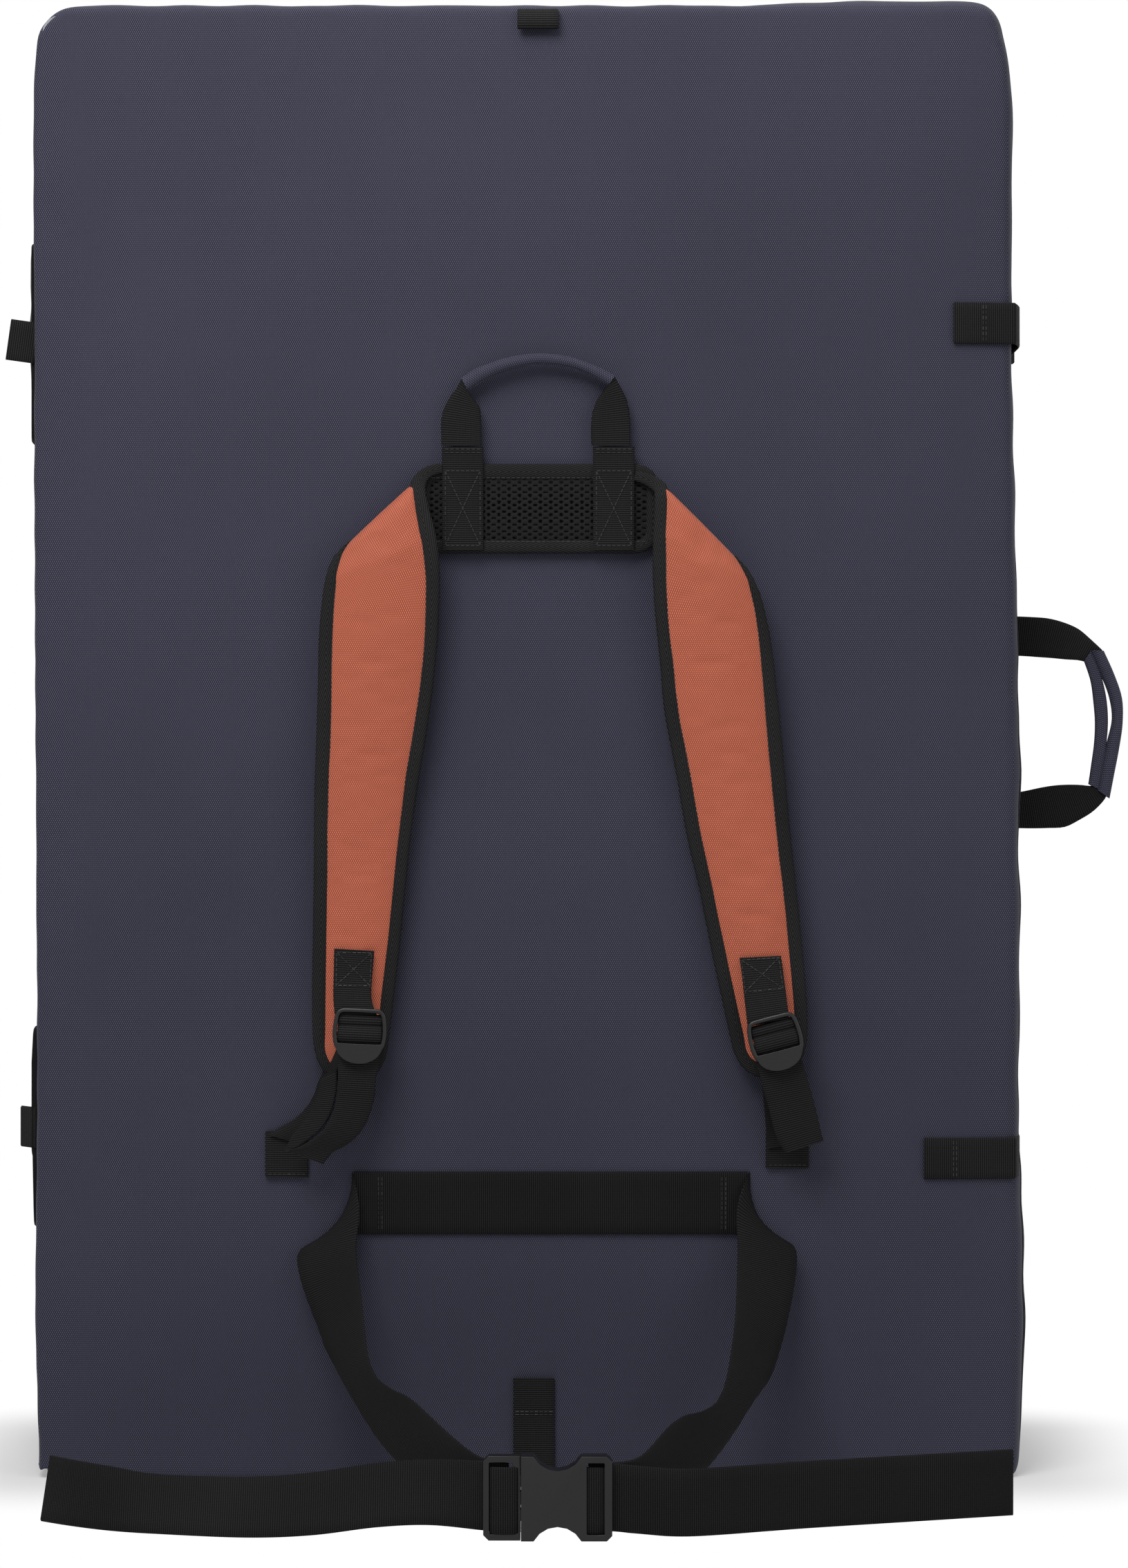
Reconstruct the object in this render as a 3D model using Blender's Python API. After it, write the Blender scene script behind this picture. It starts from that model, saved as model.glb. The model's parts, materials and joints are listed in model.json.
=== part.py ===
"""A folding bouldering crash pad, stood on its short edge with its carrying harness to the front.

Two foam-filled halves lie face to face and open like a book about a fabric hinge on the left side.
The front half carries the shoulder straps, the hip belt and both handles.
Metres, +Z up, the harness faces -Y, and the origin is the middle of the front half's base.
"""

import math

import bmesh
import bpy
from mathutils import Matrix, Vector

# Pad, one half: two of them make the folded pad
pad_width = 0.590
pad_height = 0.887
pad_thickness = 0.090
fold_gap = 0.003
corner_radius = 0.026
face_crown = 0.006
landing_crown = 0.001
wall_bulge = 0.005
hinge_wall_bulge = 0.002
base_flat_depth = 0.003
cover_cloth = 0.001
base_cover_wrap = 0.010
crown_power = 6
bulge_power = 4
wall_depth_shares = (0.82, 0.35, -0.35)
wrap_depth_share = 1 / 3
face_columns = 8
face_rows = 12
corner_steps = 2

# Foam layers in each half
landing_foam_thickness = 0.019
base_foam_thickness = 0.012
foam_side_clearance = 0.0006

# Clearances between neighbours
seat_gap = 0.0004
fit_gap = 0.0003
running_gap = 0.0006
binding_gap = 0.0024

# Fold hinge strip
hinge_reach = 0.009
hinge_cloth = 0.0012

# Webbing
narrow_webbing = 0.025
wide_webbing = 0.038
webbing_thickness = 0.0018
thread_margin = 0.002

# Yoke that carries the shoulder straps and the haul handle
yoke_width = 0.146
yoke_height = 0.054
yoke_centre_x = 0.0081
yoke_centre_z = 0.586
yoke_thickness = 0.005
yoke_corner = 0.004
binding_width = 0.008
binding_thickness = 0.006

# Haul handle above the yoke
haul_leg_spacing = 0.0910
haul_seam_rise = 0.010
haul_leg_free = 0.0400
haul_grip_rise = 0.0150
haul_grip_size = 0.0088
haul_core_width = 0.0044
haul_core_depth = 0.0044
sleeve_cloth = 0.0009

# Shoulder straps
strap_width = 0.066
strap_drop = 0.367
strap_standoff = 0.019
strap_thickness = 0.012
strap_edge_thickness = 0.005
strap_root_gap = 0.0006
strap_root_height = 0.607
strap_pivot_rise = 0.005

# Webbing, ladder lock and anchor at each strap's lower end
lock_width = 0.0326
lock_height = 0.032
lock_rail = 0.0030
lock_plate = 0.0034
lock_bar = 0.0030
lock_upper_window = 0.0098
lock_lower_window = 0.0062
lock_lip_bend = 0.0036
lock_corner = 0.004
lock_lean = math.radians(10)
strap_tab_length = 0.037
anchor_width = 0.026
anchor_height = 0.028
tail_length = 0.060
left_lock_x = -0.0985
left_lock_drop = 0.3380
left_lock_turn = math.radians(-3)
right_lock_x = 0.1505
right_lock_drop = 0.3435
right_lock_turn = math.radians(12)
left_anchor_x = -0.1438
left_anchor_z = 0.1965
right_anchor_x = 0.1585
right_anchor_z = 0.2020

# Hip belt
patch_length = 0.238
patch_centre_x = 0.0157
patch_centre_z = 0.167
belt_forward = 0.199
belt_floor_gap = 0.0002
left_tail_reach = 0.2520
right_tail_reach = 0.2340

# Side-release buckle of the hip belt
buckle_x = -0.0006
buckle_height = 0.047
buckle_thickness = 0.0130
buckle_rail = 0.0036
buckle_corner = 0.003
female_length = 0.0507
female_throat_depth = 0.0285
female_throat_height = 0.0260
female_throat_gap = 0.0088
female_window = 0.0100
female_end_bar = 0.0042
female_bar_thickness = 0.0048
male_frame_length = 0.0207
male_end_bar = 0.0032
male_inner_bar = 0.0042
male_plate = 0.0076
male_bar_thickness = 0.0032
prong_length = 0.0255
prong_width = 0.0062
prong_spacing = 0.0188
guide_width = 0.0070
scoop_radius = 0.0150
scoop_depth = 0.0080
scoop_x = 0.0203

# Closure straps, hooks and catch loops on the opening side
upper_closure_sewn = 0.0359
lower_closure_sewn = 0.0539
upper_closure_z = 0.6987
lower_closure_z = 0.1937
closure_bar_y = 0.072
closure_fold_length = 0.014
hook_width = 0.033
hook_length = 0.024
hook_plate = 0.0026
hook_bar = 0.0030
hook_slot = 0.0066
hook_rail = 0.0036
hook_eye = 0.0060
hook_mouth = 0.0040
catch_width = 0.020
catch_length = 0.024
catch_rise = 0.0045
catch_gap = 0.006

# Webbing loop in the top seam and the strap sewn above the base
top_tab_x = 0.0079
top_tab_drop = 0.013
bottom_strap_x = 0.0055
bottom_strap_top = 0.061

# Side flaps on the hinge-side wall
flap_height = 0.123
flap_depth = 0.068
flap_thickness = 0.0036
flap_front_setback = 0.012
flap_corner = 0.004
upper_flap_z = 0.6880
lower_flap_z = 0.2110
pull_tab_length = 0.0170
pull_tab_height = 0.025

# Carry handle on the opening side
carry_z = 0.4590
carry_leg_spacing = 0.108
carry_leg_reach = 0.0480
carry_rise = 0.0190
carry_grip_width = 0.0175
carry_grip_thickness = 0.0115
carry_core_width = 0.0096
carry_core_depth = 0.0066
carry_wall_gap = 0.0009
carry_seam_setback = 0.006

# Worked out from the sizes above
half_width = pad_width / 2
half_thickness = pad_thickness / 2
face_plane = -half_thickness - face_crown
landing_plane = half_thickness + fold_gap / 2
rear_middle = landing_plane + fold_gap / 2 + half_thickness
hinge_axis_x = -half_width - hinge_wall_bulge - hinge_reach
belt_plane = face_plane - belt_forward
buckle_z = buckle_height / 2
webbing_seat = seat_gap + webbing_thickness / 2

NAVY = (0.062, 0.065, 0.112)
BLACK = (0.012, 0.012, 0.013)
ORANGE = (0.560, 0.108, 0.045)
PLASTIC = (0.016, 0.016, 0.018)
FELT = (0.010, 0.010, 0.011)
FIRM_FOAM = (0.350, 0.360, 0.380)
SOFT_FOAM = (0.720, 0.700, 0.620)

FRONT = Vector((0, -1, 0))
UP = Vector((0, 0, 1))


def clear_scene():
    for item in list(bpy.data.objects):
        bpy.data.objects.remove(item, do_unlink=True)


def make_material(name, colour, roughness, metallic=0.0):
    material = bpy.data.materials.new(name)
    material.use_nodes = True
    shader = material.node_tree.nodes["Principled BSDF"]
    shader.inputs["Base Color"].default_value = (*colour, 1.0)
    shader.inputs["Roughness"].default_value = roughness
    shader.inputs["Metallic"].default_value = metallic
    material.diffuse_color = (*colour, 1.0)
    return material


def joint_empty(name, place):
    """An empty on a joint's axis, which the pieces that move there are parented to."""
    empty = bpy.data.objects.new(name, None)
    empty.location = place
    bpy.context.collection.objects.link(empty)
    return empty


def place_piece(name, bm, colour, roughness=0.8, joint=None, smooth=True):
    """Turns a finished bmesh into a named object whose origin is on its joint's axis."""
    bmesh.ops.recalc_face_normals(bm, faces=bm.faces)
    if joint:
        bmesh.ops.translate(bm, verts=bm.verts, vec=-joint.location)
    mesh = bpy.data.meshes.new(name)
    bm.to_mesh(mesh)
    bm.free()
    mesh.materials.append(make_material(name, colour, roughness))
    if smooth:
        mesh.shade_smooth()
        mesh.set_sharp_from_angle(angle=math.radians(35))
    piece = bpy.data.objects.new(name, mesh)
    bpy.context.collection.objects.link(piece)
    piece.parent = joint
    return piece


def cut_away(piece, name, low, high):
    """Cuts a box out of a piece; the corners are in the piece's own coordinates."""
    low = Vector(low)
    high = Vector(high)
    bm = bmesh.new()
    bmesh.ops.create_cube(bm, size=1)
    bmesh.ops.scale(bm, verts=bm.verts, vec=high - low)
    bmesh.ops.translate(bm, verts=bm.verts, vec=(low + high) / 2)
    mesh = bpy.data.meshes.new(name)
    bm.to_mesh(mesh)
    bm.free()
    cutter = bpy.data.objects.new(name, mesh)
    bpy.context.collection.objects.link(cutter)
    cutter.parent = piece
    cutter.hide_render = True
    cutter.display_type = "WIRE"
    cut = piece.modifiers.new(name, "BOOLEAN")
    cut.operation = "DIFFERENCE"
    cut.solver = "EXACT"
    cut.object = cutter


def smooth_route(points, count):
    """Evenly numbered points on a smooth curve through the given ones."""
    points = [Vector(p) for p in points]
    spans = len(points) - 1
    route = []
    for i in range(count + 1):
        place = i / count * spans
        k = min(int(place), spans - 1)
        t = place - k
        a = points[max(k - 1, 0)]
        b = points[k]
        c = points[k + 1]
        d = points[min(k + 2, spans)]
        blend = 2 * b + (c - a) * t
        blend += (2 * a - 5 * b + 4 * c - d) * t**2
        blend += (3 * b - a - 3 * c + d) * t**3
        route.append(blend / 2)
    return route


def loft(sections):
    """A closed solid through rings of points, made by extruding one ring's face from ring to ring."""
    bm = bmesh.new()
    face = bm.faces.new([bm.verts.new(p) for p in sections[0]])
    inner = None
    for section in sections[1:]:
        made = bmesh.ops.extrude_face_region(bm, geom=[face])["geom"]
        if inner:
            bmesh.ops.delete(bm, geom=[inner], context="FACES_ONLY")
        face = next(g for g in made if isinstance(g, bmesh.types.BMFace))
        inner = face
        for vert, point in zip(face.verts, section):
            vert.co = point
    return bm


def direction_along(route, i):
    return (route[min(i + 1, len(route) - 1)] - route[max(i - 1, 0)]).normalized()


def webbing_in_plane(route, facing, width, thickness):
    """Webbing whose face keeps one direction while its route bends in its own plane."""
    sections = []
    for i, point in enumerate(route):
        side = direction_along(route, i).cross(facing).normalized() * width[i] / 2
        lift = facing * thickness[i] / 2
        sections.append([point + side + lift, point - side + lift, point - side - lift, point + side - lift])
    return loft(sections)


def webbing_across(route, across, width, thickness=webbing_thickness):
    """Webbing that bends over its flat, with a given direction across it at each point.

    Where that direction changes the webbing twists, so its faces are split into flat triangles.
    """
    sections = []
    for i, point in enumerate(route):
        side = (across[i] if isinstance(across, list) else across).normalized()
        span = width[i] if isinstance(width, list) else width
        lift = direction_along(route, i).cross(side).normalized() * thickness / 2
        side = side * span / 2
        sections.append([point + side + lift, point - side + lift, point - side - lift, point + side - lift])
    bm = loft(sections)
    if isinstance(across, list):
        bmesh.ops.triangulate(bm, faces=bm.faces)
    return bm


def plate(outer, holes, thickness):
    """A flat plate in its own XZ plane, with holes, centred on Y."""
    bm = bmesh.new()
    edges = []
    for loop in [outer, *holes]:
        verts = [bm.verts.new((x, 0, z)) for x, z in loop]
        edges += [bm.edges.new((verts[i - 1], verts[i])) for i in range(len(verts))]
    bmesh.ops.triangle_fill(bm, use_beauty=True, use_dissolve=False, edges=edges)
    bmesh.ops.translate(bm, verts=bm.verts, vec=(0, -thickness / 2, 0))
    made = bmesh.ops.extrude_face_region(bm, geom=list(bm.faces))["geom"]
    moved = [g for g in made if isinstance(g, bmesh.types.BMVert)]
    bmesh.ops.translate(bm, verts=moved, vec=(0, thickness, 0))
    return bm


def rounded_outline(width, height, radius, steps=3, centre=(0, 0)):
    """Points round a rectangle with round corners."""
    points = []
    for turn, (sx, sz) in enumerate([(1, -1), (1, 1), (-1, 1), (-1, -1)]):
        cx = centre[0] + sx * (width / 2 - radius)
        cz = centre[1] + sz * (height / 2 - radius)
        for k in range(steps + 1):
            angle = (turn - 1 + k / steps) * math.pi / 2
            points.append((cx + radius * math.cos(angle), cz + radius * math.sin(angle)))
    return points


def crown_share(x, z):
    """1 in the middle of the panel and 0 along its seam."""
    across = min(abs(x) / half_width, 1)
    up = min(abs(z - pad_height / 2) / (pad_height / 2), 1)
    return (1 - across**crown_power) * (1 - up**crown_power)


def face_y(x, z):
    """Depth of the front half's crowned face panel."""
    return -half_thickness - face_crown * crown_share(x, z)


def side_bulge(y, bulge):
    """How far a side wall stands out past its seams at a depth y of the half's own thickness."""
    return bulge * (1 - min(abs(y) / half_thickness, 1) ** bulge_power)


def panel_places(length, cells):
    """Places of the panel's grid lines, closer together inside the round corners."""
    edge = [corner_radius * k / corner_steps for k in range(corner_steps)]
    inner = length - 2 * corner_radius
    middle = [corner_radius + inner * k / cells for k in range(cells + 1)]
    return edge + middle + [length - e for e in reversed(edge)]


def round_corner(x, z):
    """Moves a grid point onto the round corner, and gives the direction out of the pad there."""
    middle_x = half_width - corner_radius
    middle_z = pad_height / 2 - corner_radius
    sx = math.copysign(1, x)
    sz = math.copysign(1, z - pad_height / 2)
    dx = abs(x) - middle_x
    dz = abs(z - pad_height / 2) - middle_z
    if dx > 0 and dz > 0:
        reach = max(dx, dz) / math.hypot(dx, dz)
        out = Vector((sx * dx, 0, sz * dz)).normalized()
        return sx * (middle_x + dx * reach), pad_height / 2 + sz * (middle_z + dz * reach), out
    if dx > dz:
        return x, z, Vector((sx, 0, 0))
    return x, z, Vector((0, 0, sz))


def cover_sheet(side, crown, depths):
    """One cover as a sheet: a crowned panel, and walls that run through the given depths.

    side is -1 for the base panel and 1 for the landing panel.
    """
    bm = bmesh.new()
    outward = {}
    rows = []
    for z in panel_places(pad_height, face_rows):
        row = []
        for x in panel_places(pad_width, face_columns):
            px, pz, out = round_corner(x - half_width, z)
            vert = bm.verts.new((px, side * (half_thickness + crown * crown_share(px, pz)), pz))
            outward[vert] = out
            row.append(vert)
        rows.append(row)
    for low, high in zip(rows, rows[1:]):
        for i in range(len(low) - 1):
            bm.faces.new([low[i], low[i + 1], high[i + 1], high[i]])
    rim = [e for e in bm.edges if e.is_boundary]
    for depth in depths:
        directions = {v.co.to_tuple(5): outward[v] for e in rim for v in e.verts}
        made = bmesh.ops.extrude_edge_only(bm, edges=rim)["geom"]
        rim = [g for g in made if isinstance(g, bmesh.types.BMEdge)]
        for vert in [g for g in made if isinstance(g, bmesh.types.BMVert)]:
            out = directions[vert.co.to_tuple(5)]
            outward[vert] = out
            bulge = wall_bulge + (hinge_wall_bulge - wall_bulge) * max(-out.x, 0)
            vert.co += out * (side_bulge(depth, bulge) - side_bulge(vert.co.y, bulge))
            vert.co.y = depth
    for vert in bm.verts:
        if vert.co.z < base_flat_depth:
            vert.co.z = 0
    return bm


def pad_cover(name, side, crown, depths, colour, roughness, middle, joint):
    """A sewn cover of one cloth thickness, with the cloth inside the outer shape."""
    bm = cover_sheet(side, crown, depths)
    bmesh.ops.recalc_face_normals(bm, faces=bm.faces)
    bm.faces.ensure_lookup_table()
    turned_in = bm.faces[0].normal.y * side < 0
    if turned_in:
        bmesh.ops.reverse_faces(bm, faces=bm.faces)
    bmesh.ops.solidify(bm, geom=list(bm.faces), thickness=cover_cloth)
    if middle:
        bmesh.ops.scale(bm, verts=bm.verts, vec=(1, -1, 1))
        bmesh.ops.translate(bm, verts=bm.verts, vec=(0, middle, 0))
    place_piece(name, bm, colour, roughness, joint)


def foam_slab(name, low, high, inset, colour, joint):
    """A foam layer with the pad's outline, between two depths."""
    width = pad_width - 2 * inset
    height = pad_height - 2 * inset
    outline = rounded_outline(width, height, corner_radius - inset, centre=(0, pad_height / 2))
    bm = plate(outline, [], high - low)
    bmesh.ops.translate(bm, verts=bm.verts, vec=(0, (low + high) / 2, 0))
    place_piece(name, bm, colour, 0.9, joint, smooth=False)


def make_half(label, middle, joint=None):
    """The covers and foam of one half; the rear half is the front one turned back to front."""
    seam = -half_thickness + base_cover_wrap
    wrap_steps = [-half_thickness + base_cover_wrap * wrap_depth_share, seam]
    wall_steps = [half_thickness * share for share in wall_depth_shares] + [seam + fit_gap]
    pad_cover(f"{label}_base_cover", -1, face_crown, wrap_steps, NAVY, 0.55, middle, joint)
    pad_cover(f"{label}_landing_cover", 1, landing_crown, wall_steps, BLACK, 0.7, middle, joint)
    inside = half_thickness - cover_cloth - fit_gap
    inset = cover_cloth + foam_side_clearance
    layers = [
        ("landing_foam", inside - landing_foam_thickness, inside, FIRM_FOAM),
        ("base_foam", -inside, -inside + base_foam_thickness, FIRM_FOAM),
    ]
    core = (-inside + base_foam_thickness + fit_gap, inside - landing_foam_thickness - fit_gap)
    layers.append(("core_foam", *core, SOFT_FOAM))
    for layer, low, high, colour in layers:
        if middle:
            low, high = middle - high, middle - low
        foam_slab(f"{label}_{layer}", low, high, inset, colour, joint)


def make_hinge_leaves(fold):
    """The cloth strip that joins both halves, folded on itself along the fold axis."""
    length = pad_height - 4 * corner_radius
    wall = -half_width
    edge = hinge_axis_x + fit_gap
    for label, side, joint in (("front", -1, None), ("rear", 1, fold)):
        outline = rounded_outline(wall - edge, length, hinge_cloth / 2, steps=1)
        bm = plate(outline, [], hinge_cloth)
        y = landing_plane + side * (hinge_cloth / 2 + fit_gap)
        bmesh.ops.translate(bm, verts=bm.verts, vec=((wall + edge) / 2, y, pad_height / 2))
        place_piece(f"{label}_hinge_leaf", bm, BLACK, 0.75, joint)


def sewn_strip(name, start, finish, width, raise_by=0.0, steps=8):
    """Webbing stitched flat on the crowned face between two points given as (x, z)."""
    start = Vector((start[0], 0, start[1]))
    finish = Vector((finish[0], 0, finish[1]))
    side = (finish - start).normalized().cross(FRONT) * width / 2
    sections = []
    for i in range(steps + 1):
        centre = start.lerp(finish, i / steps)
        a = centre + side
        b = centre - side
        near = seat_gap + raise_by
        far = near + webbing_thickness
        corners = [(a, near), (b, near), (b, far), (a, far)]
        sections.append([Vector((p.x, face_y(p.x, p.z) - lift, p.z)) for p, lift in corners])
    place_piece(name, loft(sections), BLACK, 0.75)


def make_yoke():
    """The spacer-mesh plate with its bound edge, sewn to the face."""
    inner_width = yoke_width - 2 * binding_width
    inner_height = yoke_height - 2 * binding_width
    centre = (yoke_centre_x, yoke_centre_z)
    back = face_plane - seat_gap
    window = rounded_outline(inner_width, inner_height, yoke_corner / 2, 2, centre)
    rim = rounded_outline(yoke_width, yoke_height, yoke_corner, 2, centre)
    bm = plate(rim, [window], binding_thickness)
    bmesh.ops.translate(bm, verts=bm.verts, vec=(0, back - binding_thickness / 2, 0))
    place_piece("yoke_binding", bm, BLACK, 0.7)
    mesh_width = inner_width - 2 * fit_gap
    mesh_height = inner_height - 2 * fit_gap
    bm = plate(rounded_outline(mesh_width, mesh_height, yoke_corner / 2, 2, centre), [], yoke_thickness)
    bmesh.ops.translate(bm, verts=bm.verts, vec=(0, back - yoke_thickness / 2, 0))
    place_piece("yoke_mesh", bm, BLACK, 0.85)


def sleeve(route, facing, width, height, sides=8):
    """A cloth tube round a rolled webbing core: bridged rings, thickened inwards."""
    bm = bmesh.new()
    rings = []
    for i, point in enumerate(route):
        across = direction_along(route, i).cross(facing).normalized() * width / 2
        ring = []
        for k in range(sides):
            angle = 2 * math.pi * (k + 0.5) / sides
            offset = across * math.cos(angle) + facing * (math.sin(angle) * height / 2)
            ring.append(bm.verts.new(point + offset))
        rings.append([bm.edges.new((ring[k - 1], ring[k])) for k in range(sides)])
    for low, high in zip(rings, rings[1:]):
        bmesh.ops.bridge_loops(bm, edges=low + high)
    bmesh.ops.recalc_face_normals(bm, faces=bm.faces)
    middle = sum((v.co for v in bm.verts[:sides]), Vector()) / sides
    bm.faces.ensure_lookup_table()
    first = bm.faces[0]
    if first.normal.dot(first.calc_center_median() - middle) < 0:
        bmesh.ops.reverse_faces(bm, faces=bm.faces)
    bmesh.ops.solidify(bm, geom=list(bm.faces), thickness=sleeve_cloth)
    return bm


# How far up a handle's leg each station is
handle_leg_shares = [0, 0.30, 0.60, 0.80, 0.95]

# The webbing's width and thickness where a handle's leg is rolled into its grip
handle_width_shares = [1, 1, 0.84, 0.52, 0.26]
handle_thickness_shares = [1, 1, 1.3, 1.8, 2.2]

# A handle's arch: how high it springs from its legs, and how much of their spacing it spans
arch_spring_share = 0.12
arch_span_share = 0.97


def handle_routes(base, out, along, leg_gap, leg_start, leg_reach, rise, steps):
    """Leg and arch points of a loop handle that stands out of its base."""
    legs = []
    for up in handle_leg_shares:
        lift = leg_start + (leg_reach - leg_start) * up
        legs.append(base + out * lift - along * leg_gap / 2)
    arch = []
    for k in range(steps + 1):
        t = -1 + 2 * k / steps
        height = leg_reach + rise * (1 - (1 - arch_spring_share) * t * t)
        arch.append(base + out * height + along * (leg_gap / 2 * t * arch_span_share))
    far_legs = [p + along * 2 * (base - p).dot(along) for p in reversed(legs)]
    return legs, arch, far_legs


def handle_webbing(legs, arch, far_legs, facing, core_width, core_depth):
    widths = [narrow_webbing * w for w in handle_width_shares]
    depths = [webbing_thickness * t for t in handle_thickness_shares]
    widths += [core_width] * len(arch) + widths[::-1]
    depths += [core_depth] * len(arch) + depths[::-1]
    return webbing_in_plane(legs + arch + far_legs, facing, widths, depths)


def make_haul_handle():
    """Grab loop above the yoke: two webbing legs rolled together inside a cloth sleeve."""
    seam_z = yoke_centre_z + yoke_height / 2 + haul_seam_rise
    lift = binding_thickness + fit_gap
    plane = face_plane - lift - webbing_seat
    joint = joint_empty("haul_handle_axis", (yoke_centre_x, plane - webbing_thickness / 2, seam_z))
    base = Vector((yoke_centre_x, plane, seam_z))
    right = Vector((1, 0, 0))
    sizes = (haul_leg_spacing, fit_gap, haul_leg_free, haul_grip_rise, 14)
    routes = handle_routes(base, UP, right, *sizes)
    bm = handle_webbing(*routes, FRONT, haul_core_width, haul_core_depth)
    place_piece("haul_handle_webbing", bm, BLACK, 0.75, joint)
    bm = sleeve(routes[1][1:-1], FRONT, haul_grip_size, haul_grip_size)
    place_piece("haul_handle_grip", bm, NAVY, 0.6, joint)
    foot_z = yoke_centre_z - yoke_height / 2 + thread_margin
    for label, side in (("left", -1), ("right", 1)):
        x = yoke_centre_x + side * haul_leg_spacing / 2
        top = (x, seam_z)
        sewn_strip(f"{label}_haul_foot", top, (x, foot_z), narrow_webbing, lift, 3)


# Shoulder strap stations: inner edge out and down, outer edge out and down, standoff, thickness
left_strap_shares = [
    (0.00, 0.000, 0.00, 0.128, 0.29, 0.6),
    (0.02, 0.006, 0.54, 0.123, 0.32, 0.7),
    (0.06, 0.010, 0.72, 0.132, 0.65, 0.9),
    (0.00, 0.027, 0.79, 0.161, 0.98, 1.0),
    (-0.15, 0.100, 0.84, 0.210, 1.00, 1.0),
    (-0.17, 0.169, 0.86, 0.251, 0.97, 1.0),
    (-0.14, 0.251, 0.89, 0.319, 0.92, 1.0),
    (-0.07, 0.382, 0.90, 0.414, 0.86, 1.0),
    (0.02, 0.510, 0.91, 0.523, 0.80, 1.0),
    (0.13, 0.700, 0.92, 0.700, 0.72, 1.0),
    (0.20, 0.893, 0.93, 0.893, 0.66, 0.9),
    (0.36, 0.970, 0.82, 0.970, 0.62, 0.7),
]
right_strap_shares = [
    (0.00, 0.000, 0.00, 0.128, 0.29, 0.6),
    (0.02, 0.010, 0.60, 0.138, 0.32, 0.7),
    (0.04, 0.022, 0.80, 0.151, 0.65, 0.9),
    (0.00, 0.040, 0.87, 0.180, 0.98, 1.0),
    (-0.03, 0.110, 0.92, 0.230, 1.00, 1.0),
    (-0.03, 0.177, 0.95, 0.275, 0.97, 1.0),
    (0.01, 0.260, 1.00, 0.340, 0.92, 1.0),
    (0.12, 0.385, 1.08, 0.415, 0.86, 1.0),
    (0.22, 0.510, 1.16, 0.523, 0.80, 1.0),
    (0.41, 0.700, 1.25, 0.700, 0.72, 1.0),
    (0.60, 0.870, 1.29, 0.860, 0.66, 0.9),
    (0.78, 0.955, 1.20, 0.945, 0.62, 0.7),
]


# Stations made between two rows of a table, and the row below which a strap hangs straight
strap_station_steps = 4
straight_from_row = 3


def strap_rows(side, shares):
    """Inner edge, outer edge and thickness share of a shoulder strap at each of its stations."""
    root_x = yoke_centre_x + side * (yoke_width / 2 + strap_root_gap)
    inners = []
    outers = []
    thicks = []
    for inner_out, inner_down, outer_out, outer_down, stand, thick in shares:
        y = face_plane - strap_standoff * stand
        inner_z = strap_root_height - inner_down * strap_drop
        outer_z = strap_root_height - outer_down * strap_drop
        inners.append((root_x + side * inner_out * strap_width, y, inner_z))
        outers.append((root_x + side * outer_out * strap_width, y, outer_z))
        thicks.append((thick, 0, 0))
    count = strap_station_steps * (len(shares) - 1)
    inners = smooth_route(inners, count)
    outers = smooth_route(outers, count)
    thicks = [t.x for t in smooth_route(thicks, count)]
    return list(zip(inners, outers, thicks))


def strap_normals(rows):
    """The direction through the strap's thickness at each station."""
    middles = [(inner + outer) / 2 for inner, outer, _ in rows]
    normals = []
    for i, (inner, outer, _) in enumerate(rows):
        normals.append(direction_along(middles, i).cross(outer - inner).normalized())
    return normals


def strap_front_y(rows, z):
    """Depth of the strap's front surface at a height on its lower, straight part."""
    first = strap_station_steps * straight_from_row
    for (a, _, thick_a), (b, _, thick_b) in zip(rows[first:], rows[first + 1 :]):
        if b.z <= z <= a.z:
            share = (a.z - z) / (a.z - b.z)
            return a.y + (b.y - a.y) * share - strap_thickness * max(thick_a, thick_b) / 2
    return rows[-1][0].y - strap_thickness / 2


# Binding round a strap's lower end: places across it, and how far it dips below the last station
end_binding_shares = (0.72, 0.36, -0.36, -0.72)
end_dip_share = 1.4
end_rise_share = 0.25


def make_strap_binding(label, rows, normals, pivot):
    """Folded tape round both edges and the rounded lower end of a strap."""
    sections = []

    def add(edge, inward, normal):
        inner = edge + inward.normalized() * binding_width
        lift = normal * binding_thickness / 2
        sections.append([edge + lift, inner + lift, inner - lift, edge - lift])

    for (inner, outer, _), normal in zip(rows, normals):
        add(inner, outer - inner, normal)
    inner, outer, _ = rows[-1]
    middle = (inner + outer) / 2
    for share in end_binding_shares:
        drop = binding_width * (end_dip_share - share**2)
        edge = middle - (outer - inner) * share / 2 - UP * drop
        add(edge, middle + UP * binding_width * end_rise_share - edge, normals[-1])
    for (inner, outer, _), normal in zip(reversed(rows), reversed(normals)):
        add(outer, inner - outer, normal)
    place_piece(f"{label}_strap_binding", loft(sections), BLACK, 0.7, pivot)


def make_shoulder_pad(label, rows, normals, pivot):
    """The padded body of a strap, which lies inside its binding."""
    inset = binding_width + binding_gap
    sections = []
    for (inner, outer, thick), normal in zip(rows, normals):
        across = (outer - inner).normalized()
        a = inner + across * inset
        b = outer - across * inset
        quarter = (b - a) / 4
        swell = normal * strap_thickness * thick / 2
        rim = normal * strap_edge_thickness / 2
        upper = [a + rim, a + quarter + swell, b - quarter + swell, b + rim]
        lower = [b - rim, b - quarter - swell, a + quarter - swell, a - rim]
        sections.append(upper + lower)
    place_piece(f"{label}_shoulder_pad", loft(sections), ORANGE, 0.7, pivot)


# Webbing turned back over a bar: how far it turns, in half turns, and where it then lies, in radii
turn_share = 1.3
turned_back_shares = (-2.4, -4)


def wrap_radius(bar, thickness):
    """Radius of webbing that turns round a rectangular bar and never touches it."""
    return math.hypot(bar / 2, thickness / 2) + 2 * fit_gap + webbing_thickness / 2


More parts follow.
